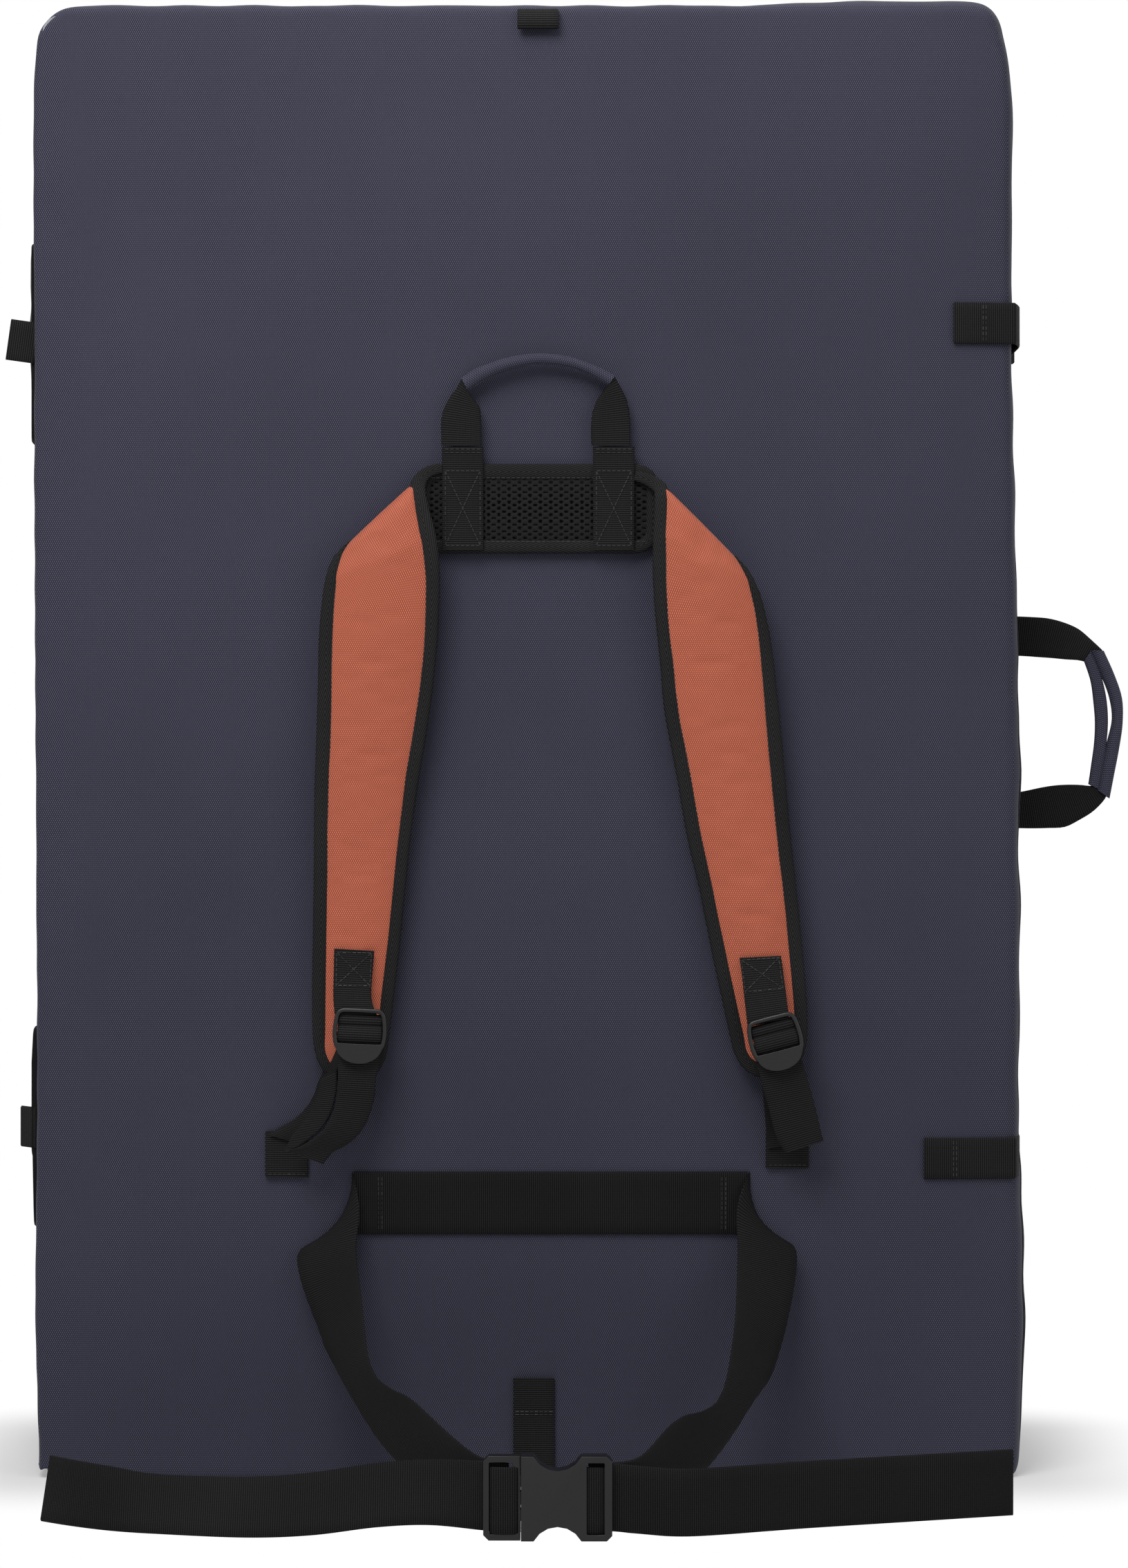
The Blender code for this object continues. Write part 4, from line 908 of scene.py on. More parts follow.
# %% Reading a strap's sections
webbing_thickness = 0.0018
strap_width = 0.025
tail_width = 0.024
belt_width = 0.038


def cad_sections(node, width, thickness):
    """The corner rings of a CAD strap, from one end to the other."""
    bm = bmesh.new()
    bm.from_mesh(frame["nodes"][node].data)
    bmesh.ops.remove_doubles(bm, verts=bm.verts, dist=1e-6)
    caps = bm.copy()
    bmesh.ops.dissolve_limit(caps, angle_limit=math.radians(0.6), verts=caps.verts[:], edges=caps.edges[:])
    found = []
    bm.verts.ensure_lookup_table()
    lookup = {v.co.to_tuple(6): v for v in bm.verts}
    for face in caps.faces:
        if len(face.verts) != 4:
            continue
        lengths = sorted(e.calc_length() for e in face.edges)
        fits = abs(lengths[0] - thickness) + abs(lengths[3] - width) < 0.06 * width + 0.0002
        ring = [lookup.get(v.co.to_tuple(6)) for v in face.verts]
        if None in ring:
            continue
        around = {e.other_vert(v) for v in ring for e in v.link_edges} - set(ring)
        if fits and len(around) == 4:
            found.append(ring)
    caps.free()
    if not found:
        raise ValueError(f"no end cap found on {node}")
    ring = found[0]
    if (ring[0].co - ring[1].co).length < (ring[1].co - ring[2].co).length:
        ring = ring[1:] + ring[:1]
    rings = [ring]
    seen_verts = set(ring)
    while True:
        around = {e.other_vert(v) for v in ring for e in v.link_edges} - seen_verts
        if len(around) != 4:
            break
        best = min(itertools.permutations(sorted(around, key=lambda v: v.index)),
                   key=lambda p: sum((a.co - b.co).length_squared for a, b in zip(ring, p)))
        ring = list(best)
        rings.append(ring)
        seen_verts |= around
    sections = [[v.co.copy() for v in r] for r in rings]
    bm.free()
    return sections


def curve_through(values, count):
    """Evenly numbered points on a smooth curve through the given ones."""
    spans = len(values) - 1
    curve = []
    for i in range(count + 1):
        place = i / count * spans
        k = min(int(place), spans - 1)
        t = place - k
        a, b, c, d = values[max(k - 1, 0)], values[k], values[k + 1], values[min(k + 2, spans)]
        bend = (2 * a - 5 * b + 4 * c - d) * t**2
        curve.append((2 * b + (c - a) * t + bend + (3 * b - a - 3 * c + d) * t**3) / 2)
    return curve


for node, width in (("left_strap_tail", tail_width), ("left_belt_wing", belt_width)):
    print(node, "has", len(cad_sections(node, width, webbing_thickness)), "sections")

# %% [markdown]
# From the sections' middles and directions we sweep a softer strap, with round edges, more stations and a
# UV map that runs along it. Each run is a piece on the body of its CAD strap. Only a shoulder strap's
# lower webbing belongs to two bodies: it joins the face to the strap, so it is put on no body.

# %% Webbing runs
def stations_of(node, width, thickness=webbing_thickness, spacing=0.004):
    """Stations for a sweep, read from a CAD strap and made closer together."""
    sections = cad_sections(node, width, thickness)
    middles = [sum(s, Vector()) / 4 for s in sections]
    sides = [(s[0] + s[3] - s[1] - s[2]) / 2 for s in sections]
    outs = [(s[0] + s[1] - s[2] - s[3]) / 2 for s in sections]
    length = sum((b - a).length for a, b in zip(middles, middles[1:]))
    count = max(len(sections) - 1, round(length / spacing))
    middles, sides, outs = (curve_through(v, count) for v in (middles, sides, outs))
    stations = []
    for middle, side, out in zip(middles, sides, outs):
        out = out - side * out.dot(side) / side.length_squared
        stations.append((middle, side.normalized(), out.normalized(), side.length, out.length))
    return stations


def make_webbing(node, width):
    """A CAD strap's run in webbing; the one that joins the face to a strap gets no body here."""
    weave = belt_weave if width == belt_width else webbing_weave
    body = None if node == "right_lower_webbing" else bodies_of[node]
    return make_piece(f"{node}_weave", sweep(stations_of(node, width)), weave, body, [node], 50, mapped=True)


def reach_to_strap(piece):
    """Bakes the placement of a strap's lower webbing into its mesh."""
    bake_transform(piece)


webbing_widths = {
    "left_haul_foot": strap_width, "right_haul_foot": strap_width, "bottom_strap": strap_width,
    "lumbar_patch": belt_width, "left_anchor_tab": 0.026, "right_anchor_tab": 0.026,
    "right_lower_webbing": tail_width, "left_belt_wing": belt_width, "right_belt_wing": belt_width,
    "upper_closure_strap": strap_width, "lower_closure_strap": strap_width,
    "upper_catch_loop": 0.020, "lower_catch_loop": 0.020,
    "top_tab": strap_width, "upper_pull_tab": strap_width, "lower_pull_tab": strap_width,
}
webbing_runs = {node: make_webbing(node, width) for node, width in webbing_widths.items()}
reach_to_strap(webbing_runs["right_lower_webbing"])
pull_tab_turns = {"upper_pull_tab": (8, "Y"), "lower_pull_tab": (-52, "Z")}
for node, (angle, axis) in pull_tab_turns.items():
    low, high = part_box(node)
    root = Matrix.Translation((high.x, (low.y + high.y) / 2, (low.z + high.z) / 2))
    webbing_runs[node].data.transform(root @ Matrix.Rotation(math.radians(angle), 4, axis) @ root.inverted())
print("webbing runs:", len(webbing_runs))

# %% [markdown]
# The belt's two loose ends stand on edge on the floor and lean back, so we give each of them its two
# edges in space. A ribbon swept between two edge lines follows them exactly: its width, its lean and its
# slanted end come from the lines. The handles and tabs further on use it too.

# %% Ribbons and the belt's loose ends
def ribbon(
    name, first, second, thickness, material, body, replaced=(),
    profile=soft_profile, spacing=0.003, last_thickness=None,
):
    """A flat band between two edge lines in space, which may grow thicker towards its end."""
    gain = (last_thickness or thickness) - thickness
    length = sum((Vector(b) - Vector(a)).length for a, b in zip(first, first[1:]))
    count = max(8, round(length / spacing))
    lines = [curve_through([Vector(p) for p in edge], count) for edge in (first, second)]
    middles = [(a + b) / 2 for a, b in zip(*lines)]
    stations = []
    for k, (a, b) in enumerate(zip(*lines)):
        side = (b - a).normalized()
        out = way_along(middles, k).cross(side).normalized()
        if out.dot(FRONT) < 0:
            out = -out
        stations.append((middles[k], side, out, (b - a).length, thickness + gain * (k / count) ** 2))
    return make_piece(name, sweep(stations, profile), material, body, replaced, 60, mapped=True)


left_belt_end = ribbon(
    "left_belt_tail_weave",
    [(-0.0070, -0.2500, 0.0045), (-0.0210, -0.2503, 0.0051), (-0.0506, -0.2504, 0.0080),
     (-0.0802, -0.2502, 0.0068), (-0.1170, -0.2485, 0.0020), (-0.1543, -0.2456, 0.0002),
     (-0.2059, -0.2339, 0.0002), (-0.2325, -0.2240, 0.0002), (-0.2560, -0.2090, 0.0002),
     (-0.2742, -0.1941, 0.0002)],
    [(-0.0070, -0.2495, 0.0425), (-0.0210, -0.2480, 0.0435), (-0.0506, -0.2360, 0.0423),
     (-0.0802, -0.2330, 0.0400), (-0.1170, -0.2290, 0.0340), (-0.1543, -0.2235, 0.0305),
     (-0.2059, -0.2130, 0.0303), (-0.2325, -0.2120, 0.0345), (-0.2540, -0.2020, 0.0365),
     (-0.2690, -0.1900, 0.0372)],
    webbing_thickness, belt_weave, bodies_of["left_belt_tail"], ["left_belt_tail"],
)
belt_end_stretch = 1.0431
stations = stations_of("right_belt_tail", belt_width)
start_x = min(middle.x for middle, *_ in stations)
stretched = []
for middle, *rest in stations:
    x = start_x + (middle.x - start_x) * belt_end_stretch
    stretched.append((Vector((x, middle.y, middle.z)), *rest))
right_belt_end = make_piece(
    "right_belt_tail_weave", sweep(stretched), belt_weave,
    bodies_of["right_belt_tail"], ["right_belt_tail"], 50, mapped=True,
)
print("belt ends:", left_belt_end.name, right_belt_end.name)

# %% [markdown]
# The side flaps are the same kind of strip, only wide and of brushed loop fabric. They swell away from
# the wall, or lie flatter, by the tables of heights and distances here. The hinge strip is cover cloth.

# %% Flaps and hinge strip
flap_height = 0.115
flap_thickness = 0.0036
leaf_rounding = 0.0004
flap_swell = {
    "upper_flap": ([0.7494, 0.7404, 0.7242, 0.7114, 0.7042, 0.6923, 0.6773, 0.6582, 0.6390, 0.6283],
                   [0.0012, 0.0030, 0.0032, 0.0023, 0.0036, 0.0052, 0.0032, 0.0015, 0.0017, 0.0002]),
    "lower_flap": ([0.2700, 0.2470, 0.2278, 0.2129, 0.2001, 0.1938, 0.1618, 0.1500],
                   [-0.0010, 0.0002, 0.0012, 0.0014, 0.0006, -0.0006, -0.0012, -0.0016]),
}
for node, (heights, swell) in flap_swell.items():
    low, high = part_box(node)
    bm = sweep(stations_of(node, flap_height, flap_thickness, 0.006))
    cut_evenly(bm, 2, low.z, high.z, 50)
    cut_evenly(bm, 1, low.y, high.y, 10)
    for v in bm.verts:
        reach = read_off(v.co.z, heights, swell)
        inside = min(1, max(0, (v.co.y - low.y) / (high.y - low.y)))
        v.co.x -= reach * (math.sin(math.pi * inside) if reach > 0 else 1)
    flap = make_piece(f"{node}_weave", bm, loop_fabric, bodies_of[node], [node], 50, mapped=True)
for label in ("front", "rear"):
    low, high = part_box(f"{label}_hinge_leaf")
    bm = box_mesh(low, high)
    cut_evenly(bm, 2, low.z, high.z, 40)
    round_edges(bm, [e for e in bm.edges if e.calc_face_angle(0) > 1], leaf_rounding, 2)
    leaf = make_piece(f"{label}_hinge_cloth", bm, black_cloth, f"{label}_half", [f"{label}_hinge_leaf"], 40)
print("flaps and hinge strip made")

# %% [markdown]
# The yoke is a plate of spacer mesh with binding tape folded over its edge. The tape is one sweep right
# round, with rounded corners, wider above than below. The mesh is a fine grid that is pushed in where its
# knitted holes are: two cosines multiplied give staggered rows of them. A copy of the grid behind it
# closes the plate.

# %% Yoke
yoke_low, yoke_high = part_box("yoke_binding")
yoke_tape_thickness = 0.0056
mesh_step = 0.00062


def yoke_tape():
    """One sweep of binding tape right round the yoke."""
    top = 0.0097
    bottom = 0.0081
    upright = 0.0080
    corner = 0.009
    low = Vector((yoke_low.x + upright / 2, 0, yoke_low.z + bottom / 2))
    high = Vector((yoke_high.x - upright / 2, 0, yoke_high.z - top / 2))
    depth = (yoke_low.y + yoke_high.y) / 2
    places = [(Vector((low.x, depth, (low.z + high.z) / 2)), upright, yoke_tape_thickness)]
    corners = (
        (low.x, high.z, 1, -1, 180), (high.x, high.z, -1, -1, 90),
        (high.x, low.z, -1, 1, 0), (low.x, low.z, 1, 1, -90),
    )
    for x, z, sx, sz, start in corners:
        across = top if sz < 0 else bottom
        for k in range(7):
            angle = math.radians(start - 15 * k)
            share = k / 6 if start in (180, 0) else 1 - k / 6
            point = Vector((
                x + sx * corner + corner * math.cos(angle), depth, z + sz * corner + corner * math.sin(angle),
            ))
            places.append((point, upright + (across - upright) * share, yoke_tape_thickness))
    places.append((places[0][0] - UP * 0.0002, upright, yoke_tape_thickness))
    bm = sweep(turned_to(even_line(places, 0.0028, 1)), tape_profile)
    return make_piece("yoke_tape", bm, binding_weave, "front_half", ["yoke_binding"], 60, mapped=True)


def yoke_plate():
    """A grid pushed in at the holes of the knitted mesh, with its copy behind it."""
    low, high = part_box("yoke_mesh")
    size = high - low
    middle = (low + high) / 2
    bm = bmesh.new()
    columns = round(size.x / mesh_step)
    rows = round(size.z / mesh_step)
    bmesh.ops.create_grid(bm, x_segments=columns, y_segments=rows, size=0.5)
    bmesh.ops.scale(bm, verts=bm.verts, vec=(size.x + 0.003, size.z + 0.003, 1))
    bmesh.ops.rotate(bm, verts=bm.verts, cent=(0, 0, 0), matrix=Matrix.Rotation(math.pi / 2, 3, "X"))
    bmesh.ops.translate(bm, verts=bm.verts, vec=(middle.x, high.y, middle.z))
    behind = bmesh.ops.extrude_face_region(bm, geom=bm.faces[:])["geom"]
    front = [g for g in behind if isinstance(g, bmesh.types.BMVert)]
    for vert in front:
        x, _, z = vert.co
        across = abs(x - middle.x) / (size.x / 2)
        up = abs(z - middle.z) / (size.z / 2)
        hole = math.cos(2 * math.pi * x / hole_pitch[0]) * math.cos(2 * math.pi * z / hole_pitch[1])
        crown = 0.0010 * max(0, 1 - across**4) * max(0, 1 - up**3)
        vert.co.y = low.y - crown + 0.0004 + 0.0008 * min(max((hole - 0.22) / 0.3, 0), 1)
    bmesh.ops.recalc_face_normals(bm, faces=bm.faces)
    piece = make_piece("yoke_spacer", bm, yoke_weave, "front_half", ["yoke_mesh"], 60)


yoke_rim = yoke_tape()
yoke_plate()
print("yoke made")

# %% [markdown]
# Each shoulder strap is a padded band between two bound edges. Both edges were measured: each entry below
# is a height, the tape's free edge and the cloth's edge. At the top the band is folded over on the slant,
# so its first rows fan out: the inner edge starts high beside the yoke, the outer edge lower, and both
# reach the same height further down. The binding is one long tape: round the yoke's corner, down the
# inner edge, round the lower end and up the outer edge, where the fold turns it under.

# %% Strap edges and tape
strap_edges = {
    ("left", "inner"): [
        (0.5999, -0.0605, -0.0692), (0.5916, -0.0597, -0.0688), (0.5812, -0.0568, -0.0663),
        (0.5708, -0.0539, -0.0643), (0.5584, -0.0518, -0.0614), (0.5418, -0.0510, -0.0597),
        (0.5253, -0.0516, -0.0601), (0.5087, -0.0522, -0.0605), (0.4921, -0.0539, -0.0618),
        (0.4755, -0.0556, -0.0638), (0.4590, -0.0580, -0.0663), (0.4424, -0.0605, -0.0692),
        (0.4258, -0.0636, -0.0721), (0.4092, -0.0659, -0.0742), (0.3926, -0.0682, -0.0763),
        (0.3761, -0.0701, -0.0783), (0.3595, -0.0717, -0.0800), (0.3429, -0.0734, -0.0817),
        (0.3263, -0.0750, -0.0833), (0.3098, -0.0769, -0.0854), (0.2932, -0.0788, -0.0875),
        (0.2766, -0.0808, -0.0891), (0.2683, -0.0821, -0.0908),
    ],
    ("left", "outer"): [
        (0.5659, -0.1053, -0.1053), (0.5584, -0.1132, -0.1090), (0.5522, -0.1165, -0.1107),
        (0.5460, -0.1185, -0.1117), (0.5377, -0.1202, -0.1125), (0.5253, -0.1217, -0.1136),
        (0.5087, -0.1231, -0.1144), (0.4921, -0.1235, -0.1148), (0.4755, -0.1237, -0.1150),
        (0.4590, -0.1243, -0.1152), (0.4424, -0.1250, -0.1156), (0.4258, -0.1256, -0.1165),
        (0.3926, -0.1262, -0.1173), (0.3595, -0.1264, -0.1173), (0.3263, -0.1270, -0.1177),
        (0.2932, -0.1275, -0.1181), (0.2683, -0.1272, -0.1183),
    ],
    ("right", "inner"): [
        (0.5970, 0.0784, 0.0864), (0.5912, 0.0783, 0.0868), (0.5800, 0.0781, 0.0862),
        (0.5688, 0.0771, 0.0856), (0.5555, 0.0771, 0.0856), (0.5410, 0.0773, 0.0856),
        (0.5240, 0.0784, 0.0864), (0.5074, 0.0800, 0.0878), (0.4905, 0.0820, 0.0901),
        (0.4755, 0.0827, 0.0914), (0.4590, 0.0849, 0.0936), (0.4424, 0.0882, 0.0970),
        (0.4258, 0.0916, 0.1003), (0.4092, 0.0941, 0.1032), (0.3926, 0.0970, 0.1061),
        (0.3761, 0.1007, 0.1098), (0.3595, 0.1048, 0.1135), (0.3429, 0.1081, 0.1168),
        (0.3263, 0.1115, 0.1204), (0.3098, 0.1148, 0.1239), (0.2932, 0.1185, 0.1276),
        (0.2766, 0.1220, 0.1313), (0.2683, 0.1239, 0.1332),
    ],
    ("right", "outer"): [
        (0.5568, 0.1264, 0.1260), (0.5518, 0.1313, 0.1289), (0.5468, 0.1351, 0.1313),
        (0.5418, 0.1376, 0.1330), (0.5336, 0.1409, 0.1353), (0.5253, 0.1434, 0.1372),
        (0.5087, 0.1469, 0.1396), (0.4921, 0.1492, 0.1411), (0.4755, 0.1510, 0.1425),
        (0.4590, 0.1529, 0.1438), (0.4424, 0.1544, 0.1452), (0.4258, 0.1560, 0.1467),
        (0.4092, 0.1575, 0.1483), (0.3926, 0.1589, 0.1500), (0.3761, 0.1608, 0.1517),
        (0.3595, 0.1626, 0.1537), (0.3429, 0.1643, 0.1554), (0.3263, 0.1660, 0.1568),
        (0.3098, 0.1674, 0.1583), (0.2932, 0.1689, 0.1597), (0.2766, 0.1697, 0.1608),
        (0.2683, 0.1697, 0.1608),
    ],
}
# The tape's middle before and after those edges: round the yoke's corner, and round the strap's lower end
tape_start = {
    "left": [(-0.0502, 0.6102), (-0.0568, 0.6094), (-0.0614, 0.6065), (-0.0641, 0.6023)],
    "right": [(0.0663, 0.6057), (0.0725, 0.6044), (0.0779, 0.6015), (0.0814, 0.5982)],
}
tape_end = {
    "left": [
        (-0.0875, 0.2567), (-0.0908, 0.2501), (-0.0962, 0.2455), (-0.1024, 0.2439), (-0.1086, 0.2443),
        (-0.1148, 0.2472), (-0.1194, 0.2526), (-0.1219, 0.2600),
    ],
    "right": [
        (0.1301, 0.2592), (0.1343, 0.2522), (0.1396, 0.2480), (0.1463, 0.2468), (0.1537, 0.2484),
        (0.1604, 0.2526), (0.1641, 0.2592),
    ],
}
fold_bottom = 0.5170
lowest_row = 0.2683
fold_rows = 14
row_step = 0.006
depth_heights = (0.5833, 0.5767, 0.5551, 0.5294, 0.4921, 0.4407, 0.3682, 0.2803, 0.2526)
depth_places = (-0.0600, -0.0669, -0.0701, -0.0694, -0.0682, -0.0668, -0.0650, -0.0635, -0.0628)


def edge_point(label, side, height, depth):
    """The tape's middle, its width, and the cloth's edge, on one side of a strap at a height."""
    heights, borders, cloths = zip(*strap_edges[label, side])
    border = read_off(height, heights, borders)
    cloth = read_off(height, heights, cloths)
    width = abs(border - cloth) + 0.0009
    return Vector(((border + cloth) / 2, depth, height)), width, Vector((cloth, depth, height))


def strap_rows(label):
    """Rows of (inner edge, outer edge) from the fold down to where the end's curve begins."""
    first_inner = strap_edges[label, "inner"][0][0]
    first_outer = strap_edges[label, "outer"][0][0]
    heights = []
    for k in range(fold_rows):
        t = k / fold_rows
        inner = first_inner + (fold_bottom - first_inner) * t
        heights.append((inner, first_outer + (fold_bottom - first_outer) * t))
    count = round((fold_bottom - lowest_row) / row_step)
    for k in range(count + 1):
        height = fold_bottom + (lowest_row - fold_bottom) * k / count
        heights.append((height, height))
    rows = []
    for inner, outer in heights:
        depth = read_off((inner + outer) / 2, depth_heights, depth_places)
        rows.append((edge_point(label, "inner", inner, depth), edge_point(label, "outer", outer, depth)))
    return rows


def strap_tape(label, rows):
    """Stations of the one long tape, which is thinner where it starts and where it ends."""
    places = []
    for k, (x, z) in enumerate(tape_start[label]):
        places.append((Vector((x, -0.0583 - 0.0004 * k, z)), 0.0060 + 0.0009 * k, 0.0026 + 0.0005 * k))
    for k, (inner, _) in enumerate(rows):
        places.append((inner[0], inner[1], 0.0046 + 0.0014 * min(k / 8, 1)))
    low_depth = depth_places[-1]
    places += [(Vector((x, low_depth, z)), 0.0096, 0.0060) for x, z in tape_end[label]]
    for k, (_, outer) in enumerate(reversed(rows)):
        left = len(rows) - 1 - k
        width = outer[1] * (0.55 + 0.45 * min(left / 4, 1))
        places.append((outer[0], width, 0.0026 + 0.0034 * min(left / 5, 1)))
    line = []
    for k, (point, width, thickness) in enumerate(even_line(places, 0.0035)):
        bow = 1 + 0.04 * noise.noise(Vector((k * 0.21, 2.2, len(label))))
        line.append((point, width * bow, thickness))
    return turned_to(line)


rows_of = {label: strap_rows(label) for label in ("left", "right")}
strap_tapes = {label: strap_tape(label, rows_of[label]) for label in ("left", "right")}
for label, stations in strap_tapes.items():
    make_piece(
        f"{label}_strap_tape", sweep(stations, tape_profile), binding_weave,
        f"{label}_strap", [f"{label}_strap_binding"], 60, mapped=True,
    )
    print(label, "strap:", len(rows_of[label]), "rows and", len(stations), "tape stations")

# %% [markdown]
# The cushion is swept from row to row as a thin lens, thick in the middle and thin where the tape grips
# it. Cloth simulation then fills it: its edges are pinned, pressure swells it from inside, and a little
# spare cloth lets it round out. The movement is capped, and the result is applied.

# %% Shoulder cushions
def cushion_profile(width, thickness, across=14):
    """A lens: full in the middle and thin at both edges."""
    upper = []
    for k in range(across + 1):
        t = -1 + 2 * k / across
        upper.append((t * width / 2, thickness * (0.16 + 0.34 * (1 - abs(t) ** 3.2))))
    return upper + [(-a, -b) for a, b in upper]


def cushion_stations(label):
    """One station for each row, a little under the tape on both sides, with a rounded nose at the fold."""
    pairs = []
    rows = rows_of[label]
    for k, (inner, outer) in enumerate(rows):
        across = (outer[2] - inner[2]).normalized()
        tucked = 0.003 * min(1, k / 5)
        pairs.append((inner[2] - across * 0.003, outer[2] + across * tucked))
    ends = tape_end[label]
    for k in range(1, len(ends) // 2):
        (ax, az), (bx, bz) = ends[k - 1], ends[-k]
        pairs.append((Vector((ax, depth_places[-1], az)), Vector((bx, depth_places[-1], bz))))
    finer = list(zip(*(curve_through(list(edge), 2 * (len(pairs) - 1)) for edge in zip(*pairs))))
    along = [(a + b) / 2 for a, b in finer]
    stations = []
    length = 0.0
    for i, (inner, outer) in enumerate(finer):
        if i:
            length += (along[i] - along[i - 1]).length
        across = (outer - inner).normalized()
        out = (FRONT - across * FRONT.dot(across)).normalized()
        nose = math.sqrt(1 - (1 - min((length + 0.0002) / 0.006, 1)) ** 2)
        end = min(1.0, 0.55 + (len(finer) - 1 - i) / 10)
        stations.append((along[i], across, out, (outer - inner).length, 0.0120 * nose * end))
    return stations


swell_pressure = 3.0
most_movement = 0.0022
spare_cloth = 0.004
swell_frames = 18


def swell(piece, pins):
    """Fills a piece by cloth simulation, caps how far each point moved, and applies it."""
    rest = [v.co.copy() for v in piece.data.vertices]
    group = piece.vertex_groups.new(name="held")
    for index, weight in pins.items():
        group.add([index], weight, "REPLACE")
    cloth = piece.modifiers.new("cloth", "CLOTH")
    cloth.settings.quality = 6
    cloth.settings.mass = 0.2
    cloth.settings.use_pressure = True
    cloth.settings.uniform_pressure_force = swell_pressure
    cloth.settings.effector_weights.gravity = 0
    cloth.settings.shrink_min = -spare_cloth
    cloth.settings.vertex_group_mass = "held"
    cloth.settings.pin_stiffness = 1
    cloth.point_cache.frame_start = 1
    cloth.point_cache.frame_end = swell_frames
    for frame_number in range(1, swell_frames + 1):
        bpy.context.scene.frame_set(frame_number)
    apply_modifiers(piece)
    bpy.context.scene.frame_set(1)
    piece.vertex_groups.clear()
    furthest = 0.0
    for vert, before in zip(piece.data.vertices, rest):
        move = vert.co - before
        if move.length > most_movement:
            vert.co = before + move.normalized() * most_movement
        furthest = max(furthest, min(move.length, most_movement))
    piece.data.update()
    piece.data.shade_smooth()
    return furthest


for label in ("left", "right"):
    bm = sweep(cushion_stations(label), cushion_profile)
    piece = make_piece(
        f"{label}_shoulder_cushion", bm, orange_cloth,
        f"{label}_strap", [f"{label}_shoulder_pad"], 80, mapped=True,
    )
    ring = len(cushion_profile(1, 1))
    half = ring // 2
    held = {}
    for index in range(len(piece.data.vertices)):
        place = index % ring % half
        near_edge = min(place, half - 1 - place)
        if near_edge < 2 or index < 3 * ring or index >= len(piece.data.vertices) - 2 * ring:
            held[index] = 1.0
    print(piece.name, "swelled by", round(1000 * swell(piece, held), 2), "mm")
    smooth = piece.modifiers.new("rounder", "SUBSURF")
    smooth.levels = smooth.render_levels = 1

# %% [markdown]
# Both grab handles have their middle wrapped in navy cloth. The haul handle's sleeve is a plain round
# tube over the rolled webbing. Its three ribbons lie at one depth, so each of their edges is a line of
# (x, z).

# %% Haul handle sleeve
haul_depth = -0.0586
haul_rolled = 0.0060
haul_sleeve_thickness = 0.0078


def tube_profile(width, thickness):
    """A plain oval of fourteen points."""
    turns = [2 * math.pi * k / 14 for k in range(14)]
    return [(math.cos(turn) * width / 2, math.sin(turn) * thickness / 2) for turn in turns]


def band(name, depth, first_edge, second_edge, thickness, material, body, replaced=(), **shape):
    """A ribbon whose two edges, as lines of (x, z), lie at one depth."""
    edges = [[(x, depth, z) for x, z in edge] for edge in (first_edge, second_edge)]
    return ribbon(name, *edges, thickness, material, body, replaced, **shape)


haul_left_leg = band(
    "left_haul_leg", haul_depth,
    [(-0.0503, 0.6237), (-0.0504, 0.6310), (-0.0505, 0.6382), (-0.0490, 0.6453), (-0.0460, 0.6518),
     (-0.0417, 0.6576), (-0.0381, 0.6638)],
    [(-0.0261, 0.6237), (-0.0262, 0.6296), (-0.0262, 0.6355), (-0.0264, 0.6414), (-0.0272, 0.6473),
     (-0.0310, 0.6518), (-0.0337, 0.6569)],
    webbing_thickness, webbing_weave, "haul_handle", ["haul_handle_webbing"], last_thickness=haul_rolled,
)
haul_right_leg = band(
    "right_haul_leg", haul_depth,
    [(0.0401, 0.6237), (0.0398, 0.6302), (0.0399, 0.6367), (0.0406, 0.6431), (0.0425, 0.6493),
     (0.0457, 0.6548), (0.0497, 0.6599)],
    [(0.0636, 0.6237), (0.0635, 0.6311), (0.0634, 0.6385), (0.0627, 0.6458), (0.0608, 0.6529),
     (0.0576, 0.6595), (0.0537, 0.6657)],
    webbing_thickness, webbing_weave, "haul_handle", last_thickness=haul_rolled,
)
haul_sleeve = band(
    "haul_sleeve", haul_depth,
    [(-0.0383, 0.6645), (-0.0301, 0.6699), (-0.0209, 0.6736), (-0.0115, 0.6765), (-0.0019, 0.6784),
     (0.0078, 0.6792), (0.0177, 0.6788), (0.0274, 0.6772), (0.0367, 0.6741), (0.0458, 0.6704),
     (0.0544, 0.6657)],
    [(-0.0344, 0.6565), (-0.0268, 0.6615), (-0.0187, 0.6657), (-0.0102, 0.6689), (-0.0014, 0.6712),
     (0.0076, 0.6726), (0.0167, 0.6721), (0.0257, 0.6709), (0.0344, 0.6684), (0.0426, 0.6643),
     (0.0504, 0.6597)],
    haul_sleeve_thickness, navy_cloth, "haul_handle", ["haul_handle_grip"], profile=tube_profile,
)
print("haul handle:", haul_left_leg.name, haul_right_leg.name, haul_sleeve.name)

# %% [markdown]
# The carry handle's sleeve is a flat band whose outer half is rolled round the webbing, so that a narrow
# slit opens between the roll and the band's inner edge. Its two webbing legs come straight out of the
# seam at full width, and are gathered only where the sleeve takes them.

